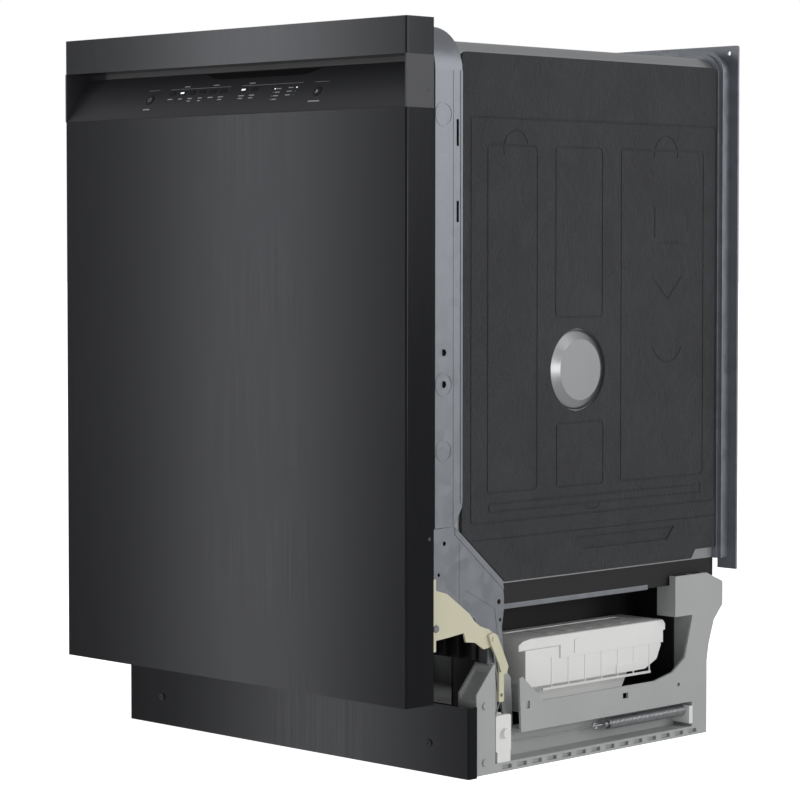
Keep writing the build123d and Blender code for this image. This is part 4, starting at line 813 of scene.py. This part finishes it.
def rack_meshes(name, floor, tall, front_drop, tines, material):
    """The rows of one rack: cross wires, long wires, rims and tines."""
    half = RACK_HALF - RIM_R
    front = depth(RACK_FRONT_MM) + RIM_R
    back = depth(RACK_BACK_MM) - RIM_R
    top = floor + tall - RIM_R
    base = floor + 0.003
    cross_route = [(-half, 0, top), (-half, 0, base), (half, 0, base), (half, 0, top)]
    cross_wire = wire_object(name + "_cross", bent_wire(cross_route, RACK_BEND), WIRE_R)
    cross_start = (0, front + CROSS_MARGIN, 0)
    cross_step = (0, (back - front - 2 * CROSS_MARGIN) / (CROSS_WIRES - 1), 0)
    made = [row(cross_wire, CROSS_WIRES, cross_start, cross_step, material)]
    long_route = [(0, front, top - front_drop), (0, front, base), (0, back, base), (0, back, top)]
    long_wire = wire_object(name + "_long", bent_wire(long_route, RACK_BEND), WIRE_R)
    long_start = (-half + LONG_MARGIN, 0, 0)
    long_step = ((2 * half - 2 * LONG_MARGIN) / (LONG_WIRES - 1), 0, 0)
    made.append(row(long_wire, LONG_WIRES, long_start, long_step, material))
    bm = bmesh.new()
    shoulder = half - 0.06
    front_rim = bent_wire(
        [
            (-half, front + 0.04, top),
            (-half, front, top),
            (-shoulder, front, top),
            (-shoulder + 0.012, front, top - front_drop),
            (shoulder - 0.012, front, top - front_drop),
            (shoulder, front, top),
            (half, front, top),
            (half, front + 0.04, top),
        ],
        0.009,
    )
    back_rim = bent_wire(
        [
            (-half, front + 0.04, top),
            (-half, back, top),
            (half, back, top),
            (half, front + 0.04, top),
        ],
        RACK_BEND,
    )
    add_tube(bm, front_rim, RIM_R, 10)
    add_tube(bm, back_rim, RIM_R, 10)
    middle_rim = rounded_loop((-half, half), (front, back), floor + tall * 0.45, RACK_BEND)
    add_tube(bm, middle_rim, WIRE_R, 8, closed=True)
    rim_mesh = mesh_from(bm, name + "_rims", True)
    made.append(rim_mesh)
    for x, y_low, y_high, high_mm in tines:
        tine = wire_object(name + "_tine", [(0, 0, base), (0, 0, base + high_mm * MM)], TINE_R)
        count = int((y_high - y_low) / TINE_STEP_MM) + 1
        tine_step = (0, TINE_STEP_MM * MM, 0)
        made.append(row(tine, count, (x * MM, depth(y_low), 0), tine_step, material))
    return made


# %% Lower rack
rack_finish = finishes["rack_grey"]
# Each row of tines: across, first and last place behind the door, and height, in millimetres.
lower_tines = [(x, 206, 480, 62) for x in (-190, -140, -90, 90, 140, 190)]
lower_tines += [(x, 120, 180, 62) for x in (-190, -140, 140, 190)]
parts = rack_meshes("lower_rack_wire", 0.222, 0.150, 0.045, lower_tines, rack_finish)
bm = bmesh.new()
WHEEL_Z_MM = 224.6
for y in (156.0, 447.4):
    for sign in (1, -1):
        ends = [(sign * 0.2500, depth(y), WHEEL_Z_MM * MM), (sign * 0.2616, depth(y), WHEEL_Z_MM * MM)]
        add_tube(bm, ends, 0.003, 16)
        corner_a = (sign * 0.2494, depth(y - 5), (WHEEL_Z_MM - 3) * MM)
        add_box(bm, corner_a, (sign * 0.2519, depth(y + 5), 0.242))
parts.append(mesh_from(bm, "lower_rack_axles"))
lower_rack_wire = join_meshes("lower_rack_wire", parts, rack_finish)
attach(lower_rack_wire, "lower_rack")
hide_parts("lower_rack")

# %% Upper rack, with its runners and the water feed it carries
FEED_Y_MM = 321.7
upper_tines = [(x, 130, 490, 44) for x in (-200, -150, -100, 100, 150, 200)]
parts = rack_meshes("upper_rack_wire", 0.506, 0.125, 0.035, upper_tines, rack_finish)
bm = bmesh.new()
for sign in (1, -1):
    add_box(bm, (sign * 0.2512, depth(120), 0.543), (sign * 0.2626, depth(517), 0.561), 0.002)
add_tube(bm, [(0, depth(308), 0.520), (0, depth(518), 0.520)], 0.007, 20)
add_tube(bm, [(0, depth(FEED_Y_MM), 0.491), (0, depth(FEED_Y_MM), 0.520)], 0.008, 20)
add_tube(bm, [(0, depth(FEED_Y_MM), 0.490), (0, depth(FEED_Y_MM), 0.493)], 0.014, 24)
add_tube(bm, [(0, depth(FEED_Y_MM), 0.5034), (0, depth(FEED_Y_MM), 0.507)], 0.012, 24)
parts.append(mesh_from(bm, "upper_rack_fittings"))
upper_rack_wire = join_meshes("upper_rack_wire", parts, rack_finish)
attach(upper_rack_wire, "upper_rack")
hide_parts("upper_rack")

# %% Cutlery basket
basket_finish = finishes["blue_grey"]
X_SPAN = (-0.069, 0.069)
Y_SPAN = (depth(108.8), depth(185.2))
FLOOR_Z = 0.2248
TOP_Z = 0.3427
SLAT = 0.0012
parts = []
slats_x, slats_y = 15, 9
step_x = (X_SPAN[1] - X_SPAN[0]) / (slats_x - 1)
step_y = (Y_SPAN[1] - Y_SPAN[0]) / (slats_y - 1)
for number, y in enumerate(Y_SPAN):
    slat = box_object(f"basket_slat_x{number}", (-SLAT, y - SLAT, FLOOR_Z), (SLAT, y + SLAT, TOP_Z))
    parts.append(row(slat, slats_x, (X_SPAN[0], 0, 0), (step_x, 0, 0), basket_finish))
for number, x in enumerate((X_SPAN[0], 0.0, X_SPAN[1])):
    slat = box_object(f"basket_slat_y{number}", (x - SLAT, -SLAT, FLOOR_Z), (x + SLAT, SLAT, TOP_Z))
    parts.append(row(slat, slats_y, (0, Y_SPAN[0], 0), (0, step_y, 0), basket_finish))
bar = box_object("basket_floor_x", (X_SPAN[0], -SLAT, FLOOR_Z), (X_SPAN[1], SLAT, FLOOR_Z + 0.002))
parts.append(row(bar, slats_y, (0, Y_SPAN[0], 0), (0, step_y, 0), basket_finish))
bar = box_object("basket_floor_y", (-SLAT, Y_SPAN[0], FLOOR_Z), (SLAT, Y_SPAN[1], FLOOR_Z + 0.002))
parts.append(row(bar, slats_x, (X_SPAN[0], 0, 0), (step_x, 0, 0), basket_finish))
bm = bmesh.new()
for z in (FLOOR_Z + 0.0015, FLOOR_Z + 0.040, FLOOR_Z + 0.078, TOP_Z - 0.002):
    add_tube(bm, rounded_loop(X_SPAN, Y_SPAN, z, 0.004), 0.0018, 8, closed=True)
middle_y = (Y_SPAN[0] + Y_SPAN[1]) / 2
grip = bent_wire(
    [
        (0, middle_y - 0.020, TOP_Z - 0.004),
        (0, middle_y - 0.020, TOP_Z + 0.025),
        (0, middle_y + 0.020, TOP_Z + 0.025),
        (0, middle_y + 0.020, TOP_Z - 0.004),
    ],
    0.008,
)
add_tube(bm, grip, 0.0025, 10)
parts.append(mesh_from(bm, "basket_bands", True))
basket_lattice = join_meshes("basket_lattice", parts, basket_finish)
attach(basket_lattice, "lower_rack")
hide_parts("cutlery_basket")

# %% [markdown]
# Small fittings that show from outside: dark crosses painted as the shade in the screws' cross recesses,
# rivets on the door's edge, the thin rail above the electronics box, and the box's own ribs.


# %% Painted shade in the cross recesses of the kick plate's screws: darker crosses on the heads
def cross(bm, centre, reach_out, half_width, thick):
    x, y, z = centre
    add_box(bm, (x - reach_out, y - thick, z - half_width), (x + reach_out, y + thick, z + half_width))
    add_box(bm, (x - half_width, y - thick, z - reach_out), (x + half_width, y + thick, z + reach_out))


screw_face_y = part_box("case_screws")[0].y
KICK_SCREW_X = 0.236
KICK_SCREW_Z = 0.035
bm = bmesh.new()
# The crosses are painted shade: slightly proud plates of a darker black where the recesses would be in
# shade.
for x in (-KICK_SCREW_X, KICK_SCREW_X):
    cross(bm, (x, screw_face_y, KICK_SCREW_Z), 0.0026, 0.0006, 0.0002)
screw_recesses = add_object("screw_recesses", mesh_from(bm, "screw_recesses"), finishes["key_black"])
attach(screw_recesses, "chassis")
screw_mesh = nodes["case_screws"].data
screw_mesh.materials.append(finishes["black_trim"])
screw_mesh.materials.append(finishes["grey_plastic"])
# The node also holds screws that stand further out on the case. Those are grey.
OUTER_SCREWS_FROM_X = 0.245
for face in screw_mesh.polygons:
    face.material_index = 1 if abs(face.center.x) < OUTER_SCREWS_FROM_X else 2

# %% Rivets on the door's edge
RIVET_HEIGHTS = (0.780, 0.280)
RIVET_Y_MM = 36
RIVET_R = 0.0022
bm = bmesh.new()
door_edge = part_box("door_skin")[1].x
for z in RIVET_HEIGHTS:
    inner = (door_edge - 0.001, depth(RIVET_Y_MM), z)
    outer = (door_edge + 0.0004, depth(RIVET_Y_MM), z)
    add_tube(bm, [inner, outer], RIVET_R, 16)
door_rivets = add_object("door_rivets", mesh_from(bm, "door_rivets"), finishes["black_trim"])
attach(door_rivets, "door")

# %% Rail above the electronics box
bm = bmesh.new()
add_box(bm, (0.2786, depth(176), 0.1865), (0.2802, depth(439), 0.1925), 0.0005)
add_box(bm, (0.2700, depth(176), 0.1909), (0.2790, depth(439), 0.1925), 0.0003)
base_rail = add_object("base_rail", mesh_from(bm, "base_rail"), finishes["zinc_sheet"])
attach(base_rail, "chassis")

# %% Dark wall that closes the base beside the rear post
bm = bmesh.new()
for side in ((0.1945, 0.2630), (-0.2630, -0.2440)):
    add_box(bm, (side[0], depth(509.4), 0.0125), (side[1], depth(511.0), 0.1865))
base_rear_wall = add_object("base_rear_wall", mesh_from(bm, "base_rear_wall"), finishes["dark_plastic"])
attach(base_rear_wall, "chassis")

# %% Ribs, steps and a label plate on the electronics box
box_low, box_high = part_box("module_box")
lid_low, lid_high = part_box("module_box_lid")
SIDE_RIBS = 7
SIDE_RIB_STEP = 0.030
SIDE_RIB_WIDE = 0.0016
LID_BARS = 5
LID_BAR_STEP = 0.034
LID_BAR_WIDE = 0.012
side_x = box_high.x
bm = bmesh.new()
for step in range(SIDE_RIBS):
    y = box_low.y + 0.045 + step * SIDE_RIB_STEP
    corner_a = (side_x - 0.001, y, box_low.z + 0.026)
    add_box(bm, corner_a, (side_x + 0.0008, y + SIDE_RIB_WIDE, box_high.z - 0.012), 0.0003)
corner_a = (side_x - 0.001, box_low.y + 0.03, box_low.z + 0.024)
add_box(bm, corner_a, (side_x + 0.0010, box_high.y - 0.02, box_low.z + 0.027), 0.0004)
corner_a = (side_x - 0.002, box_high.y - 0.085, box_low.z + 0.030)
add_box(bm, corner_a, (side_x + 0.0014, box_high.y - 0.045, box_low.z + 0.040), 0.0006)
for step in range(LID_BARS):
    y = lid_low.y + 0.070 + step * LID_BAR_STEP
    corner_a = (lid_low.x + 0.018, y, lid_high.z - 0.0012)
    add_box(bm, corner_a, (lid_high.x - 0.018, y + LID_BAR_WIDE, lid_high.z - 0.0002), 0.0003)
box_ribs = add_object("box_ribs", mesh_from(bm, "box_ribs"), finishes["white_plastic"])
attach(box_ribs, "chassis")

# %% [markdown]
# The studio: a pale floor, a white surround, and soft lights. A black brushed door shows little
# colour of its own, so most of what is seen on it is the soft light it reflects: one tall panel of
# light stands where the door mirrors it to the camera, and fades towards the sides.

# %% Floor and surround
AMBIENT = 0.34
FLOOR_AMBIENT = 0.10
floor_mesh = bpy.data.meshes.new("studio_floor")
reach = 30.0
floor_mesh.from_pydata(
    [(-reach, -reach, 0), (reach, -reach, 0), (reach, reach, 0), (-reach, reach, 0)], [], [(0, 1, 2, 3)]
)
floor_finish = bpy.data.materials.new("studio_floor")
floor_finish.use_nodes = True
floor_shader = floor_finish.node_tree.nodes["Principled BSDF"]
floor_shader.inputs["Base Color"].default_value = (0.93, 0.93, 0.93, 1)
floor_shader.inputs["Roughness"].default_value = 0.85
floor_shader.inputs["Emission Color"].default_value = (1, 1, 1, 1)
floor_seen = floor_finish.node_tree.nodes.new("ShaderNodeLightPath")
floor_level = floor_finish.node_tree.nodes.new("ShaderNodeMapRange")
floor_level.inputs["To Min"].default_value = FLOOR_AMBIENT
floor_level.inputs["To Max"].default_value = 1.0
floor_finish.node_tree.links.new(floor_seen.outputs["Is Camera Ray"], floor_level.inputs["Value"])
floor_finish.node_tree.links.new(floor_level.outputs["Result"], floor_shader.inputs["Emission Strength"])
floor_shader.inputs["Specular IOR Level"].default_value = 0.1
studio_floor = add_object("studio_floor", floor_mesh, floor_finish)
# The floor stays out of reflections, or its pale glow would wash out the foot of the black door.
studio_floor.visible_glossy = False
world = bpy.data.worlds.new("studio")
bpy.context.scene.world = world
world.use_nodes = True
backdrop = world.node_tree.nodes["Background"]
seen = world.node_tree.nodes.new("ShaderNodeLightPath")
level = world.node_tree.nodes.new("ShaderNodeMapRange")
level.inputs["To Min"].default_value = AMBIENT
level.inputs["To Max"].default_value = 1.0
world.node_tree.links.new(seen.outputs["Is Camera Ray"], level.inputs["Value"])
world.node_tree.links.new(level.outputs["Result"], backdrop.inputs["Strength"])
backdrop.inputs["Color"].default_value = (1, 1, 1, 1)
bpy.context.scene.view_settings.view_transform = "Standard"


# %% Soft lights
def soft_light(name, place, aim, size, power):
    data = bpy.data.lights.new(name, "AREA")
    data.shape = "RECTANGLE"
    data.size, data.size_y = size
    data.energy = power
    light = bpy.data.objects.new(name, data)
    light.location = place
    light.rotation_euler = (Vector(aim) - Vector(place)).to_track_quat("-Z", "Y").to_euler()
    bpy.context.scene.collection.objects.link(light)
    return light


middle = (low + high) / 2
soft_light("side_light", (3.4, 1.6, 1.6), middle, (1.6, 2.2), 36)
soft_light("door_light", (-2.46, -2.6, 0.55), (0.0, low.y, 0.55), (0.30, 4.6), 19)
soft_light("low_side_light", (2.2, -0.2, 0.5), (0.28, 0.0, 0.15), (0.8, 0.5), 4)

# %% Camera
CAMERA_LENS_MM = 128.147
CAMERA_SIDE = 2.5067
CAMERA_HEIGHT = 0.61421
CAMERA_AHEAD = 2.23661
CAMERA_TURN = 44.759
CAMERA_TILT = 87.58
CAMERA_SHIFT = -0.05
camera_data = bpy.data.cameras.new("camera")
camera_data.lens = CAMERA_LENS_MM
camera_data.sensor_width = 36.0
camera_data.shift_y = CAMERA_SHIFT
camera = bpy.data.objects.new("camera", camera_data)
camera.location = (CAMERA_SIDE, low.y - CAMERA_AHEAD, CAMERA_HEIGHT)
camera.rotation_euler = (math.radians(CAMERA_TILT), 0, math.radians(CAMERA_TURN))
bpy.context.scene.collection.objects.link(camera)
bpy.context.scene.camera = camera
